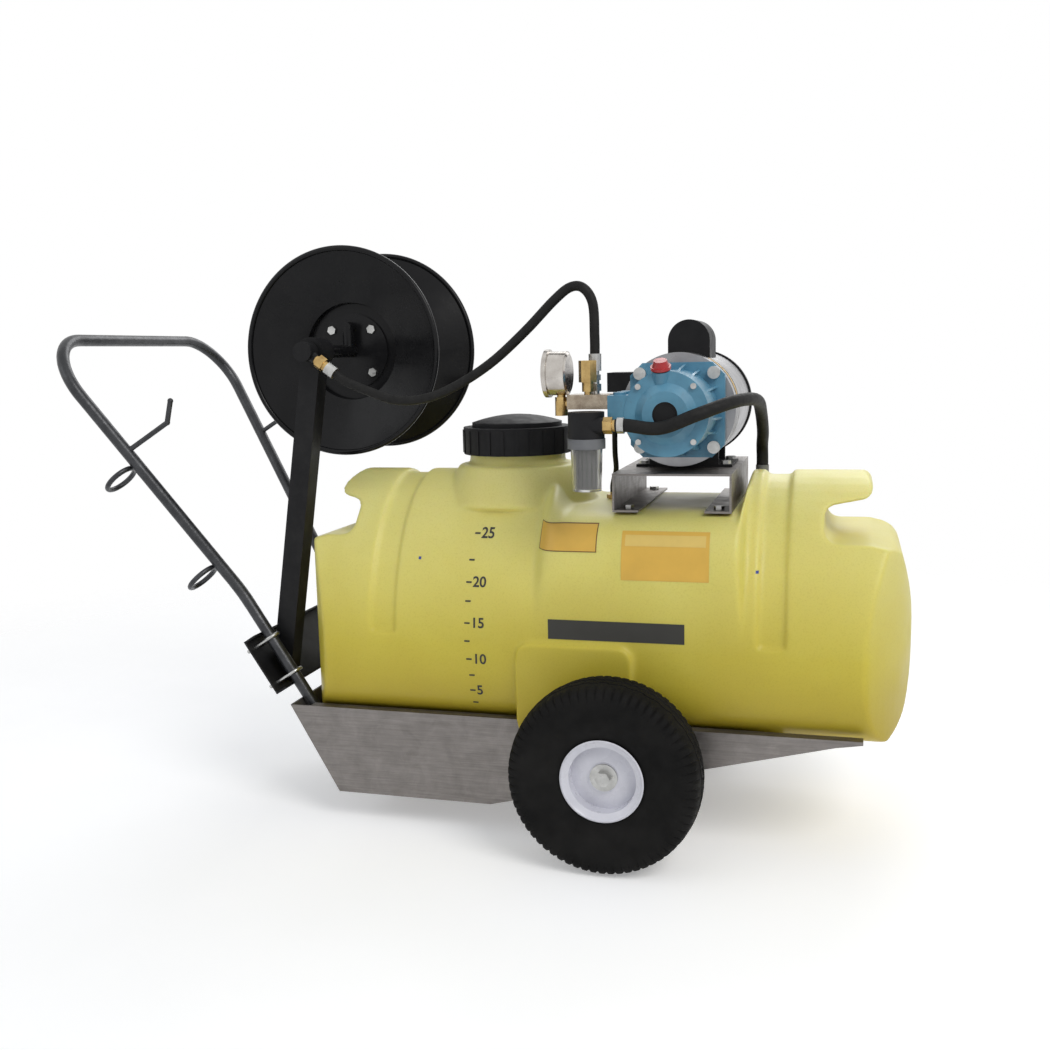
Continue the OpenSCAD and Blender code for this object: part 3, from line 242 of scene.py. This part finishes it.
def poly_tank():
    g = Graph("tank_poly")
    split = g.add("ShaderNodeSeparateXYZ")
    g.link(g.place, split.inputs[0])
    level = g.ranged(split.outputs["Z"], 0, 1, *TANK_PAINTED_SHADE_Z)
    # painted shade: the tank's colour is picked by height, so its lower part is painted darker
    base = g.ramp(level, TANK_PAINTED_SHADE)
    cloud = g.ramp(g.noise(5.5, 5, 0.5, distort=0.6), [(0.35, (0.93, 0.91, 0.82)), (0.65, (1, 1, 1))])
    color = g.mix(1.0, base, cloud, "MULTIPLY")
    speck = g.ramp(g.noise(420, 2), [(0.25, (0.93, 0.92, 0.85)), (0.5, (1, 1, 1))])
    color = g.mix(1.0, color, speck, "MULTIPLY")
    roughness = g.ranged(g.noise(14, 5), 0.34, 0.5)
    waves = g.bump(g.noise(9, 3), 0.22, 0.004)
    normal = g.bump(g.noise(700, 3), 0.12, 0.0004, waves)
    return g.finish(color, roughness, normal, Subsurface_Weight=0.3, Subsurface_Scale=0.015,
                    Subsurface_Radius=(1.0, 0.75, 0.2), Coat_Weight=0.08, Coat_Roughness=0.4,
                    Specular_IOR_Level=0.35)


def mill_steel():
    g = Graph("bare_steel")
    patch = g.noise(26, 7, 0.65, distort=0.8)
    streak = g.noise(18, 6, 0.6, stretch=(1, 1, 26))
    color = g.mix(0.5, g.ramp(patch, [(0.3, (0.14, 0.128, 0.12)), (0.7, (0.27, 0.25, 0.238))]),
                  g.ramp(streak, [(0.3, (0.17, 0.157, 0.148)), (0.7, (0.29, 0.27, 0.258))]))
    roughness = g.ranged(g.noise(60, 6), 0.34, 0.56)
    normal = g.bump(g.noise(240, 4, stretch=(1, 1, 12)), 0.1, 0.0004)
    return g.finish(color, roughness, normal, Metallic=0.85)


def hammered():
    g = Graph("grey_enamel")
    dimple = g.add("ShaderNodeTexVoronoi", Scale=260.0)
    g.link(g.place, dimple.inputs["Vector"])
    color = g.ramp(g.noise(45, 5), [(0.3, (0.024, 0.025, 0.028)), (0.7, (0.055, 0.057, 0.062))])
    roughness = g.ranged(g.noise(80, 4), 0.28, 0.45)
    normal = g.bump(dimple.outputs["Distance"], 0.35, 0.0006)
    return g.finish(color, roughness, normal, Metallic=0.55, Coat_Weight=0.12, Coat_Roughness=0.25)


def gloss_paint(name, low, high, rough=(0.14, 0.26), coat=0.6, dust=0.25):
    g = Graph(name)
    base = g.ramp(g.noise(12, 5), [(0.3, low), (0.7, high)])
    film = g.ranged(g.noise(38, 7, 0.7), 0.0, dust, 0.45, 0.8)
    color = g.mix(film, base, (0.22, 0.21, 0.2))
    roughness = g.ranged(g.noise(30, 6), rough[0], rough[1])
    peel = g.bump(g.noise(260, 2), 0.12, 0.0005)
    return g.finish(color, roughness, peel, Coat_Weight=coat, Coat_Roughness=0.12, Specular_IOR_Level=0.16)


def cast_paint(name, low, high):
    g = Graph(name)
    base = g.ramp(g.noise(22, 6), [(0.3, low), (0.7, high)])
    wear = g.ranged(g.noise(70, 8, 0.75), 0.0, 0.35, 0.55, 0.75)
    color = g.mix(wear, base, (0.10, 0.16, 0.17))
    roughness = g.ranged(g.noise(50, 5), 0.3, 0.5)
    rough_cast = g.bump(g.noise(150, 6), 0.35, 0.0009)
    normal = g.bump(g.noise(600, 3), 0.2, 0.0004, rough_cast)
    return g.finish(color, roughness, normal, Coat_Weight=0.25, Coat_Roughness=0.25)


def metal(name, low, high, rough, grain=500.0, bump=0.1, scale=60.0):
    return dull(name, low, high, rough, 1.0, scale, grain, bump, 0.0003)


def clear(name, tint, rough):
    g = Graph(name)
    color = g.ramp(g.noise(18, 4), [(0.3, tint), (0.7, (0.82, 0.82, 0.80))])
    roughness = g.ranged(g.noise(40, 4), rough, rough + 0.08)
    ripple = g.bump(g.noise(60, 2), 0.04, 0.0004)
    return g.finish(color, roughness, ripple, Transmission_Weight=0.92, IOR=1.46)


def dial_face():
    g = Graph("dial_white")
    color = g.ramp(g.noise(90, 4), [(0.3, (0.84, 0.84, 0.80)), (0.7, (0.93, 0.93, 0.90))])
    return g.finish(color, g.ranged(g.noise(50, 3), 0.4, 0.5), g.bump(g.noise(600, 2), 0.05, 0.0002))


def mesh_screen():
    g = Graph("screen_mesh")
    weave = g.add("ShaderNodeTexChecker", Scale=520.0)
    g.link(g.place, weave.inputs["Vector"])
    shade = g.ramp(g.noise(35, 4), [(0.3, (0.030, 0.030, 0.034)), (0.7, (0.060, 0.060, 0.064))])
    color = g.mix(weave.outputs["Fac"], shade, (0.085, 0.085, 0.09))
    return g.finish(color, g.ranged(g.noise(80, 3), 0.5, 0.65), g.bump(weave.outputs["Fac"], 0.15, 0.0003))


def sticker(name, color):
    g = Graph(name)
    shade = tuple(0.9 * c for c in color)
    base = g.ramp(g.noise(25, 4), [(0.3, shade), (0.7, color)])
    return g.finish(base, g.ranged(g.noise(60, 4), 0.38, 0.5), g.bump(g.noise(150, 3), 0.06, 0.0004))


M = {
    "tank_poly": poly_tank(),
    "bare_steel": mill_steel(),
    "grey_enamel": hammered(),
    "gloss_black": gloss_paint("gloss_black", (0.004, 0.004, 0.005), (0.008, 0.008, 0.009),
                               (0.2, 0.3), 0.05, 0.02),
    "matte_black": gloss_paint("matte_black", (0.006, 0.006, 0.007), (0.014, 0.014, 0.015),
                               (0.42, 0.55), 0.03, 0.04),
    "black_plastic": dull("black_plastic", (0.006, 0.006, 0.007), (0.013, 0.013, 0.014),
                          (0.45, 0.6), Specular_IOR_Level=0.18),
    "grey_plastic": dull("grey_plastic", (0.10, 0.105, 0.115), (0.17, 0.175, 0.185), (0.4, 0.55)),
    "tyre_rubber": dull("tyre_rubber", (0.005, 0.005, 0.005), (0.012, 0.0115, 0.011),
                        (0.62, 0.8), scale=22, bump=0.25, Specular_IOR_Level=0.1),
    "rim_white": dull("rim_white", (0.60, 0.60, 0.66), (0.74, 0.74, 0.80),
                      (0.22, 0.36), scale=18, grain=300, bump=0.06, Coat_Weight=0.2),
    "zinc": metal("zinc", (0.36, 0.36, 0.35), (0.54, 0.54, 0.53), (0.24, 0.42)),
    "brass": metal("brass", (0.34, 0.22, 0.085), (0.58, 0.41, 0.17), (0.24, 0.42)),
    "nickel": metal("nickel", (0.42, 0.39, 0.36), (0.60, 0.57, 0.53), (0.12, 0.24), 250, 0.04),
    "valve_metal": metal("valve_metal", (0.23, 0.18, 0.135), (0.42, 0.36, 0.28), (0.22, 0.4), 300, 0.1, 90),
    "motor_silver": metal("motor_silver", (0.24, 0.24, 0.25), (0.36, 0.36, 0.37), (0.26, 0.4), 260, 0.06, 20),
    "pump_blue": cast_paint("pump_blue", (0.07, 0.22, 0.34), (0.12, 0.33, 0.47)),
    "red_plastic": dull("red_plastic", (0.34, 0.008, 0.012), (0.50, 0.016, 0.022),
                        (0.25, 0.4), Coat_Weight=0.25),
    "hose_rubber": dull("hose_rubber", (0.006, 0.006, 0.006), (0.014, 0.0135, 0.013),
                        (0.5, 0.68), scale=60, grain=1400, bump=0.35, Specular_IOR_Level=0.2),
    "dial_white": dial_face(),
    "needle_black": dull("needle_black", (0.01, 0.01, 0.01), (0.03, 0.03, 0.03), (0.4, 0.5)),
    "clear_plastic": clear("clear_plastic", (0.66, 0.66, 0.64), 0.06),
    "screen_mesh": mesh_screen(),
    "label_amber": sticker("label_amber", (0.82, 0.50, 0.085)),
    "label_dark": sticker("label_dark", (0.022, 0.021, 0.016)),
    "label_brown": sticker("label_brown", (0.16, 0.075, 0.02)),
    "label_pale": sticker("label_pale", (0.84, 0.60, 0.16)),
    "ink_blue": sticker("ink_blue", (0.03, 0.06, 0.30)),
    "print_black": sticker("print_black", (0.020, 0.020, 0.018)),
}

# pieces whose look differs from that of their slot
OWN_LOOKS = {"strainer_screen": "screen_mesh", "valve_body": "valve_metal"}
for part in frame["record"]["subparts"]:
    look = M[OWN_LOOKS.get(part["node"], part["material_slot"])]
    for place in frame["nodes"][part["node"]].material_slots:
        place.material = look

# ---------------------------------------------------------------- geometry helpers


def new_piece(name, mesh, material, body="cart", smooth=True):
    """Adds a mesh as a piece that rides on a body."""
    piece = bpy.data.objects.new(name, mesh)
    bpy.context.scene.collection.objects.link(piece)
    piece.data.materials.append(M[material])
    if smooth:
        for face in mesh.polygons:
            face.use_smooth = True
    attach(piece, body)
    return piece


def mesh_of(bm, name):
    """Turns a bmesh into a new mesh and frees it."""
    mesh = bpy.data.meshes.new(name)
    bm.to_mesh(mesh)
    bm.free()
    return mesh


def revolve(name, profile, steps, shape=None):
    """Closed ring made from (radius, along) points about the local Z axis; shape may move a point."""
    mesh = bpy.data.meshes.new(name)
    count = len(profile)
    verts = []
    for i in range(steps):
        angle = 2 * math.pi * i / steps
        for k, (radius, along) in enumerate(profile):
            if shape:
                radius, along = shape(i, k, radius, along)
            verts.append((radius * math.cos(angle), radius * math.sin(angle), along))
    faces = []
    for i in range(steps):
        j = (i + 1) % steps
        for k in range(count):
            m = (k + 1) % count
            faces.append((i * count + k, j * count + k, j * count + m, i * count + m))
    mesh.from_pydata(verts, [], faces)
    mesh.update()
    return mesh


def outline_points(route, fine):
    """Points of a Catmull-Rom curve through the route."""
    points = [Vector(p) for p in route]
    last = len(points) - 1
    made = []
    for i in range(last):
        p, q = points[max(i - 1, 0)], points[i]
        r, s = points[i + 1], points[min(i + 2, last)]
        for k in range(fine):
            t = k / fine
            made.append(0.5 * (2 * q + (r - p) * t + (2 * p - 5 * q + 4 * r - s) * t * t
                               + (3 * q - p - 3 * r + s) * t * t * t))
    made.append(points[last])
    return made


def hose(name, node, route, diameter):
    """Hose along a route in millimetres, in place of its CAD solid."""
    points = outline_points([(x / 1000, y / 1000, z / 1000) for x, y, z in route], 12)
    curve = bpy.data.curves.new(name, "CURVE")
    curve.dimensions = "3D"
    curve.bevel_depth = diameter / 2
    curve.bevel_resolution = 8
    curve.use_fill_caps = True
    strand = curve.splines.new("POLY")
    strand.points.add(len(points) - 1)
    for spot, point in zip(strand.points, points):
        spot.co = (*point, 1)
    strand.use_smooth = True
    piece = bpy.data.objects.new(name, curve)
    bpy.context.scene.collection.objects.link(piece)
    curve.materials.append(M["hose_rubber"])
    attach(piece, "cart")
    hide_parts(node)


# ---------------------------------------------------------------- hoses

# the routes repeat those of the CAD solids, in millimetres
REEL = (-246, 730)
SWIVEL_Y = -145
DROP = math.radians(36)
FITTING_LEN = 58
STRAIGHT_END = 78
OUTLET = (208, -161)
HOSE_END_Z = 716.9
PRESSURE = [
    (REEL[0] + FITTING_LEN * math.cos(DROP), SWIVEL_Y, REEL[1] - FITTING_LEN * math.sin(DROP)),
    (REEL[0] + STRAIGHT_END * math.cos(DROP), SWIVEL_Y, REEL[1] - STRAIGHT_END * math.sin(DROP)),
    (REEL[0] + 104, SWIVEL_Y - 3, REEL[1] - 62),
    (REEL[0] + 146, SWIVEL_Y - 5, REEL[1] - 75),
    (REEL[0] + 194, SWIVEL_Y - 7, REEL[1] - 73),
    (REEL[0] + 244, SWIVEL_Y - 9, REEL[1] - 55),
    (REEL[0] + 300, SWIVEL_Y - 11, REEL[1] - 22),
    (REEL[0] + 352, SWIVEL_Y - 13, REEL[1] + 21),
    (REEL[0] + 395, SWIVEL_Y - 15, REEL[1] + 62),
    (REEL[0] + 420, SWIVEL_Y - 16, REEL[1] + 80),
    (REEL[0] + 439, SWIVEL_Y - 16, REEL[1] + 78),
    (OUTLET[0] - 2, OUTLET[1], REEL[1] + 56),
    (OUTLET[0], OUTLET[1], HOSE_END_Z + 24),
    (OUTLET[0], OUTLET[1], HOSE_END_Z),
]
SUCTION = [
    (252, -241, 620.9),
    (268, -241, 620.9),
    (312, -241, 616.9),
    (360, -241, 633.9),
    (400, -211, 647.9),
    (422, -161, 650.9),
    (430, -101, 644.9),
    (430, -41, 626.9),
    (429, 15, 594.9),
    (426, 46, 572),
    (426, 52, 552),
    (426, 52, 540),
]
BYPASS = [
    (226, -150, 650.9),
    (226, -138, 650.9),
    (227, -116, 642.9),
    (222, -94, 610.9),
    (216, -64, 570.9),
    (210, -26, 540.9),
    (201, 2, 523),
    (195, 20, 509),
    (195, 20, 499),
]
hose("pressure_line", "pressure_hose", PRESSURE, 0.014)
hose("suction_line", "suction_hose", SUCTION, 0.018)
hose("return_line", "bypass_line", BYPASS, 0.008)

# ---------------------------------------------------------------- tank

WELD_GAP = 0.00002
VOXEL = 0.003
# the walls are thinner than a voxel at the steep steps, so a shrunken copy backs them
MIDDLE = Vector((0.182, 0, 0.348))
SHRINK = (0.992, 0.975, 0.975, 1)

mesh = frame["nodes"]["tank"].data.copy()
mesh.name = "tank_shell"
bm = bmesh.new()
bm.from_mesh(mesh)
bmesh.ops.remove_doubles(bm, verts=bm.verts, dist=WELD_GAP)
bm.to_mesh(mesh)
bm.free()
mesh.materials.clear()
backing = mesh.copy()
backing.transform(Matrix.Translation(MIDDLE) @ Matrix.Diagonal(SHRINK) @ Matrix.Translation(-MIDDLE))
bm = bmesh.new()
bm.from_mesh(mesh)
bm.from_mesh(backing)
bm.to_mesh(mesh)
bm.free()
bpy.data.meshes.remove(backing)
shell = bpy.data.objects.new("tank_shell", mesh)
bpy.context.scene.collection.objects.link(shell)
remesh = shell.modifiers.new("even", "REMESH")
remesh.mode = "VOXEL"
remesh.voxel_size = VOXEL
soften = shell.modifiers.new("soften", "SMOOTH")
soften.factor = 0.6
soften.iterations = 10
solid = bpy.data.meshes.new_from_object(shell.evaluated_get(bpy.context.evaluated_depsgraph_get()))
shell.modifiers.clear()
shell.data = solid
solid.name = "tank_shell"
solid.materials.clear()
solid.materials.append(M["tank_poly"])
for face in solid.polygons:
    face.use_smooth = True
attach(shell, "cart")
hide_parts("tank")

finder = bmesh.new()
finder.from_mesh(solid)
skin = BVHTree.FromBMesh(finder)
finder.free()

# how far prints stand off the skin, and what lies on another print
PRINT_LIFT = 0.0004
UPPER_LIFT = 0.0007
RAY_START_Y = -0.5


def lay_on_tank(name, mesh, material, lift=PRINT_LIFT):
    """Projects a flat mesh, drawn in the XZ plane, onto the tank's right side."""
    for vert in mesh.vertices:
        hit = skin.ray_cast(Vector((vert.co.x, RAY_START_Y, vert.co.z)), Vector((0, 1, 0)))[0]
        if hit:
            vert.co.y = hit.y - lift
    mesh.update()
    new_piece(name, mesh, material)


def patch(name, x0, x1, z0, z1, cells=24):
    """Flat grid in the XZ plane, fine enough to bend."""
    bm = bmesh.new()
    columns = [x0 + (x1 - x0) * i / cells for i in range(cells + 1)]
    rows = [z0 + (z1 - z0) * k / cells for k in range(cells + 1)]
    grid = [[bm.verts.new((x, 0, z)) for x in columns] for z in rows]
    for k in range(cells):
        for i in range(cells):
            bm.faces.new((grid[k][i], grid[k][i + 1], grid[k + 1][i + 1], grid[k + 1][i]))
    return mesh_of(bm, name)


def flat_text(words, size, align, swell=0.0):
    """Mesh of flat lettering in its own XY plane."""
    curve = bpy.data.curves.new("lettering", "FONT")
    curve.body = words
    curve.size = size
    curve.align_x = align
    curve.align_y = "CENTER"
    curve.offset = swell
    holder = bpy.data.objects.new("lettering", curve)
    bpy.context.scene.collection.objects.link(holder)
    flat = bpy.data.meshes.new_from_object(holder.evaluated_get(bpy.context.evaluated_depsgraph_get()))
    bpy.data.objects.remove(holder)
    return flat


LONGEST_EDGE = 0.004


def print_text(words, x, z, size):
    """Lettering that starts at x, centred on z of the side, cut fine enough to bend."""
    flat = flat_text(words, size, "LEFT", 0.0004)
    for vert in flat.vertices:
        vert.co = Vector((x + vert.co.x, 0, z + vert.co.y))
    bm = bmesh.new()
    bm.from_mesh(flat)
    bmesh.ops.triangulate(bm, faces=bm.faces)
    bmesh.ops.subdivide_edges(bm, edges=[e for e in bm.edges if e.calc_length() > LONGEST_EDGE], cuts=2)
    bm.to_mesh(flat)
    bm.free()
    return flat


# graduations: the middle of each dash, and the number beside it
MARKS = ((0.0202, 0.4542, "25"), (0.0168, 0.4173, ""), (0.0153, 0.3859, "20"), (0.0155, 0.3588, ""),
         (0.0148, 0.3266, "15"), (0.0144, 0.2996, ""), (0.0167, 0.2723, "10"), (0.0204, 0.2477, ""),
         (0.0201, 0.2236, "5"), (0.0219, 0.2030, ""))
DASH_WIDE = 0.0085
DASH_TALL = 0.0024
NUMBER_GAP = 0.006
NUMBER_SIZE = 0.021
for index, (x, z, words) in enumerate(MARKS):
    half_wide, half_tall = DASH_WIDE / 2, DASH_TALL / 2
    dash = patch("dash", x - half_wide, x + half_wide, z - half_tall, z + half_tall, 4)
    lay_on_tank("tick_%d" % index, dash, "print_black")
    if words:
        number = print_text(words, x + NUMBER_GAP, z, NUMBER_SIZE)
        lay_on_tank("number_%d" % index, number, "print_black")


def outlined(name, x0, x1, z0, z1, edge):
    """Blank label with a thin dark frame."""
    lay_on_tank(name, patch(name, x0, x1, z0, z1), "label_amber")
    for side, (a, b, c, d) in enumerate(((x0, x1, z0, z0 + edge), (x0, x1, z1 - edge, z1),
                                         (x0, x0 + edge, z0, z1), (x1 - edge, x1, z0, z1))):
        lay_on_tank("%s_frame_%d" % (name, side), patch("frame", a, b, c, d), "label_brown", UPPER_LIFT)


outlined("label_small", 0.1205, 0.211, 0.437, 0.476, 0.0012)
LABELS = (
    ("label_large", (0.247, 0.371, 0.399, 0.467), "label_amber", PRINT_LIFT),
    ("label_large_band", (0.252, 0.366, 0.447, 0.462), "label_pale", UPPER_LIFT),
    ("stripe_plain", (0.139, 0.337, 0.309, 0.338), "label_dark", PRINT_LIFT),
)
for name, area, material, lift in LABELS:
    lay_on_tank(name, patch(name, *area), material, lift)
DOT = 0.002
for index, (x, z) in enumerate(((-0.066, 0.418), (0.435, 0.411))):
    lay_on_tank("dot_%d" % index, patch("dot", x - DOT, x + DOT, z - DOT, z + DOT, 3), "ink_blue")

# ---------------------------------------------------------------- tyres

AXLE_X = 0.236
HALF_TRACK = 0.2585
TYRE_R = 0.1365
CROWN_R = 0.110
CROWN_MID = TYRE_R - CROWN_R
SHOULDER = (0.1175, -0.0265)
SHOULDER_R = 0.016
CENTRE_GROOVE = 0.0026
LUGS = 66
PER_LUG = 4
LUG_CUT = 0.0024
LUG_SHIFT = 0.0012
GROOVE_CUT = 0.0030
WANDER = 0.0016
SIPE_CUT = 0.0016
SHARP = math.radians(28)


def tyre_profile():
    """Section of the tyre from its inner bead over the crown to the outer one."""
    points = [(0.0500, -0.0220), (0.0570, -0.0250), (0.0650, -0.0310), (0.0790, -0.0375), (0.0930, -0.0421),
              (0.1050, -0.0424), (0.1130, -0.0421)]
    for step in range(1, 7):
        angle = math.radians(90 - 13 * step)
        out, side = SHOULDER_R * math.cos(angle), SHOULDER_R * math.sin(angle)
        points.append((SHOULDER[0] + out, SHOULDER[1] - side))
    for along in (-0.0235, -0.0190, -0.0160, -0.0150, -0.0135, -0.0125, -0.0090, -0.0045, -0.0035):
        points.append((CROWN_MID + math.sqrt(CROWN_R ** 2 - along ** 2), along))
    mirrored = [(radius, -along) for radius, along in reversed(points)]
    groove_r = TYRE_R - CENTRE_GROOVE
    return points + [(groove_r, -0.0022), (groove_r, 0.0022)] + mirrored


PROFILE = tyre_profile()


def tread(step, index, radius, along):
    """Cuts shoulder lugs and wandering grooves."""
    reach = abs(along)
    phase = step % PER_LUG
    if radius > 0.1165 and reach > 0.0245 and phase == 0:
        radius -= LUG_CUT
        along -= math.copysign(LUG_SHIFT, along)
    if 0.0130 < reach < 0.0155:
        radius -= GROOVE_CUT
    if 0.0120 < reach < 0.0200 and radius > 0.12:
        along += WANDER * (1 if (step // PER_LUG) % 2 else -1)
    if 0.003 < reach < 0.012 and phase == 2:
        radius -= SIPE_CUT
    return radius, along


def tyre(side, body, node):
    """Treaded tyre in place of the plain CAD one."""
    mesh = revolve("tyre_%s" % side, PROFILE, LUGS * PER_LUG, tread)
    hub = (AXLE_X, HALF_TRACK if side == "left" else -HALF_TRACK, TYRE_R)
    mesh.transform(Matrix.Translation(hub) @ Matrix.Rotation(math.pi / 2, 4, "X"))
    piece = new_piece("tyre_%s" % side, mesh, "tyre_rubber", body)
    bm = bmesh.new()
    bm.from_mesh(mesh)
    for edge in bm.edges:
        if len(edge.link_faces) == 2 and edge.calc_face_angle(0) > SHARP:
            edge.smooth = False
    bm.to_mesh(mesh)
    bm.free()
    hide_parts(node)


tyre("left", "wheel_left", "tyre_l")
tyre("right", "wheel_right", "tyre_r")

# ---------------------------------------------------------------- small details


def flat_bar(bm, matrix, width, tall):
    """Adds a small rectangle, centred in the matrix's XY plane."""
    corners = ((-width / 2, -tall / 2), (width / 2, -tall / 2), (width / 2, tall / 2), (-width / 2, tall / 2))
    bm.faces.new([bm.verts.new(matrix @ Vector((a, b, 0))) for a, b in corners])


# gauge scale, read from the rear of the cart
DIAL_LIFT = 0.00025
FIRST_ANGLE = 225
SWEEP = 270
TICKS = 31
NUMBERS = 7
NUMBER_STEP = 50
low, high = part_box("gauge_dial")
DIAL = Vector((low.x - DIAL_LIFT, (low.y + high.y) / 2, (low.z + high.z) / 2))
dial_r = (high.z - low.z) / 2
facing = Matrix(((0, 0, -1, 0), (-1, 0, 0, 0), (0, 1, 0, 0), (0, 0, 0, 1)))


def dial_spot(radius, angle):
    """Place on the dial's face, turned to face the reader."""
    spot = facing @ Vector((radius * math.cos(angle), radius * math.sin(angle), 0))
    return Matrix.Translation(DIAL + spot) @ facing


bm = bmesh.new()
for i in range(TICKS):
    angle = math.radians(FIRST_ANGLE - SWEEP * i / (TICKS - 1))
    long = 0.0032 if i % 5 == 0 else 0.0018
    turn = Matrix.Rotation(angle - math.pi / 2, 4, "Z")
    flat_bar(bm, dial_spot(dial_r * 0.90 - long / 2, angle) @ turn, 0.0005, long)
new_piece("gauge_scale", mesh_of(bm, "gauge_scale"), "print_black", smooth=False)
for i in range(NUMBERS):
    angle = math.radians(FIRST_ANGLE - SWEEP * i / (NUMBERS - 1))
    digits = flat_text(str(NUMBER_STEP * i), 0.0052, "CENTER")
    digits.transform(dial_spot(dial_r * 0.66, angle))
    new_piece("gauge_number_%d" % i, digits, "print_black", smooth=False)

BAND_STEPS = 48


def wrap_band(name, node, material, y0, y1, start, stop, lift):
    """Curved strip lying on a node that is round about a line along Y."""
    low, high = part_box(node)
    radius = (high.z - low.z) / 2 + lift
    bm = bmesh.new()
    rows = []
    for i in range(BAND_STEPS + 1):
        angle = math.radians(start + (stop - start) * i / BAND_STEPS)
        x = (low.x + high.x) / 2 + radius * math.cos(angle)
        z = (low.z + high.z) / 2 + radius * math.sin(angle)
        rows.append([bm.verts.new((x, y, z)) for y in (y0, y1)])
    for a, b in zip(rows, rows[1:]):
        bm.faces.new((a[0], b[0], b[1], a[1]))
    new_piece(name, mesh_of(bm, name), material)


# name, material, from and to behind the motor's front edge, from and to in degrees, lift
BANDS = (
    ("motor_plate", "label_amber", 0.006, 0.020, 8, 62, 0.0003),
    ("motor_seam", "print_black", 0.0005, 0.0022, 0, 360, 0.0003),
    ("motor_band", "zinc", 0.030, 0.038, 0, 360, 0.0006),
)
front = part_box("motor_shell")[0].y
for name, material, near, far, start, stop, lift in BANDS:
    wrap_band(name, "motor_shell", material, front + near, front + far, start, stop, lift)

# slats that carry the strainer's screen
low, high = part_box("strainer_screen")
screen_r = (high.x - low.x) / 2
centre = (low + high) / 2
SLATS = 14
SLAT_SIZE = Matrix.Diagonal((0.0008, 0.0012, high.z - low.z - 0.004, 1))
outward = Matrix.Translation((screen_r + 0.0002, 0, 0))
bm = bmesh.new()
for i in range(SLATS):
    turn = Matrix.Rotation(2 * math.pi * i / SLATS, 4, "Z")
    bmesh.ops.create_cube(bm, size=1, matrix=Matrix.Translation(centre) @ turn @ outward @ SLAT_SIZE)
new_piece("screen_slats", mesh_of(bm, "screen_slats"), "black_plastic", body="filter", smooth=False)

# ---------------------------------------------------------------- floor

floor = bpy.data.meshes.new("floor")
REACH = 2.6
FADE = (0.75, 2.2)
corners = [(-REACH, -REACH, 0), (REACH, -REACH, 0), (REACH, REACH, 0), (-REACH, REACH, 0)]
floor.from_pydata(corners, [], [(0, 1, 2, 3)])
ground = bpy.data.objects.new("floor", floor)
bpy.context.scene.collection.objects.link(ground)
g = Graph("floor_paper")
paper = g.ramp(g.noise(3, 3), [(0.3, (0.92, 0.92, 0.92)), (0.7, (0.95, 0.95, 0.95))])
floor.materials.append(g.finish(paper, g.ranged(g.noise(5, 3), 0.8, 0.95), Emission_Color=(1, 1, 1, 1),
                                Emission_Strength=0.3, Specular_IOR_Level=0.1))
# the paper fades out well before its edge, so no horizon shows
away = g.add("ShaderNodeVectorMath")
away.operation = "LENGTH"
g.link(g.place, away.inputs[0])
fade = g.ranged(away.outputs["Value"], 0.0, 1.0, *FADE)
gone = g.add("ShaderNodeBsdfTransparent")
blended = g.add("ShaderNodeMixShader")
g.link(fade, blended.inputs[0])
g.link(g.shader.outputs[0], blended.inputs[1])
g.link(gone.outputs[0], blended.inputs[2])
g.link(blended.outputs[0], g.tree.nodes["Material Output"].inputs["Surface"])
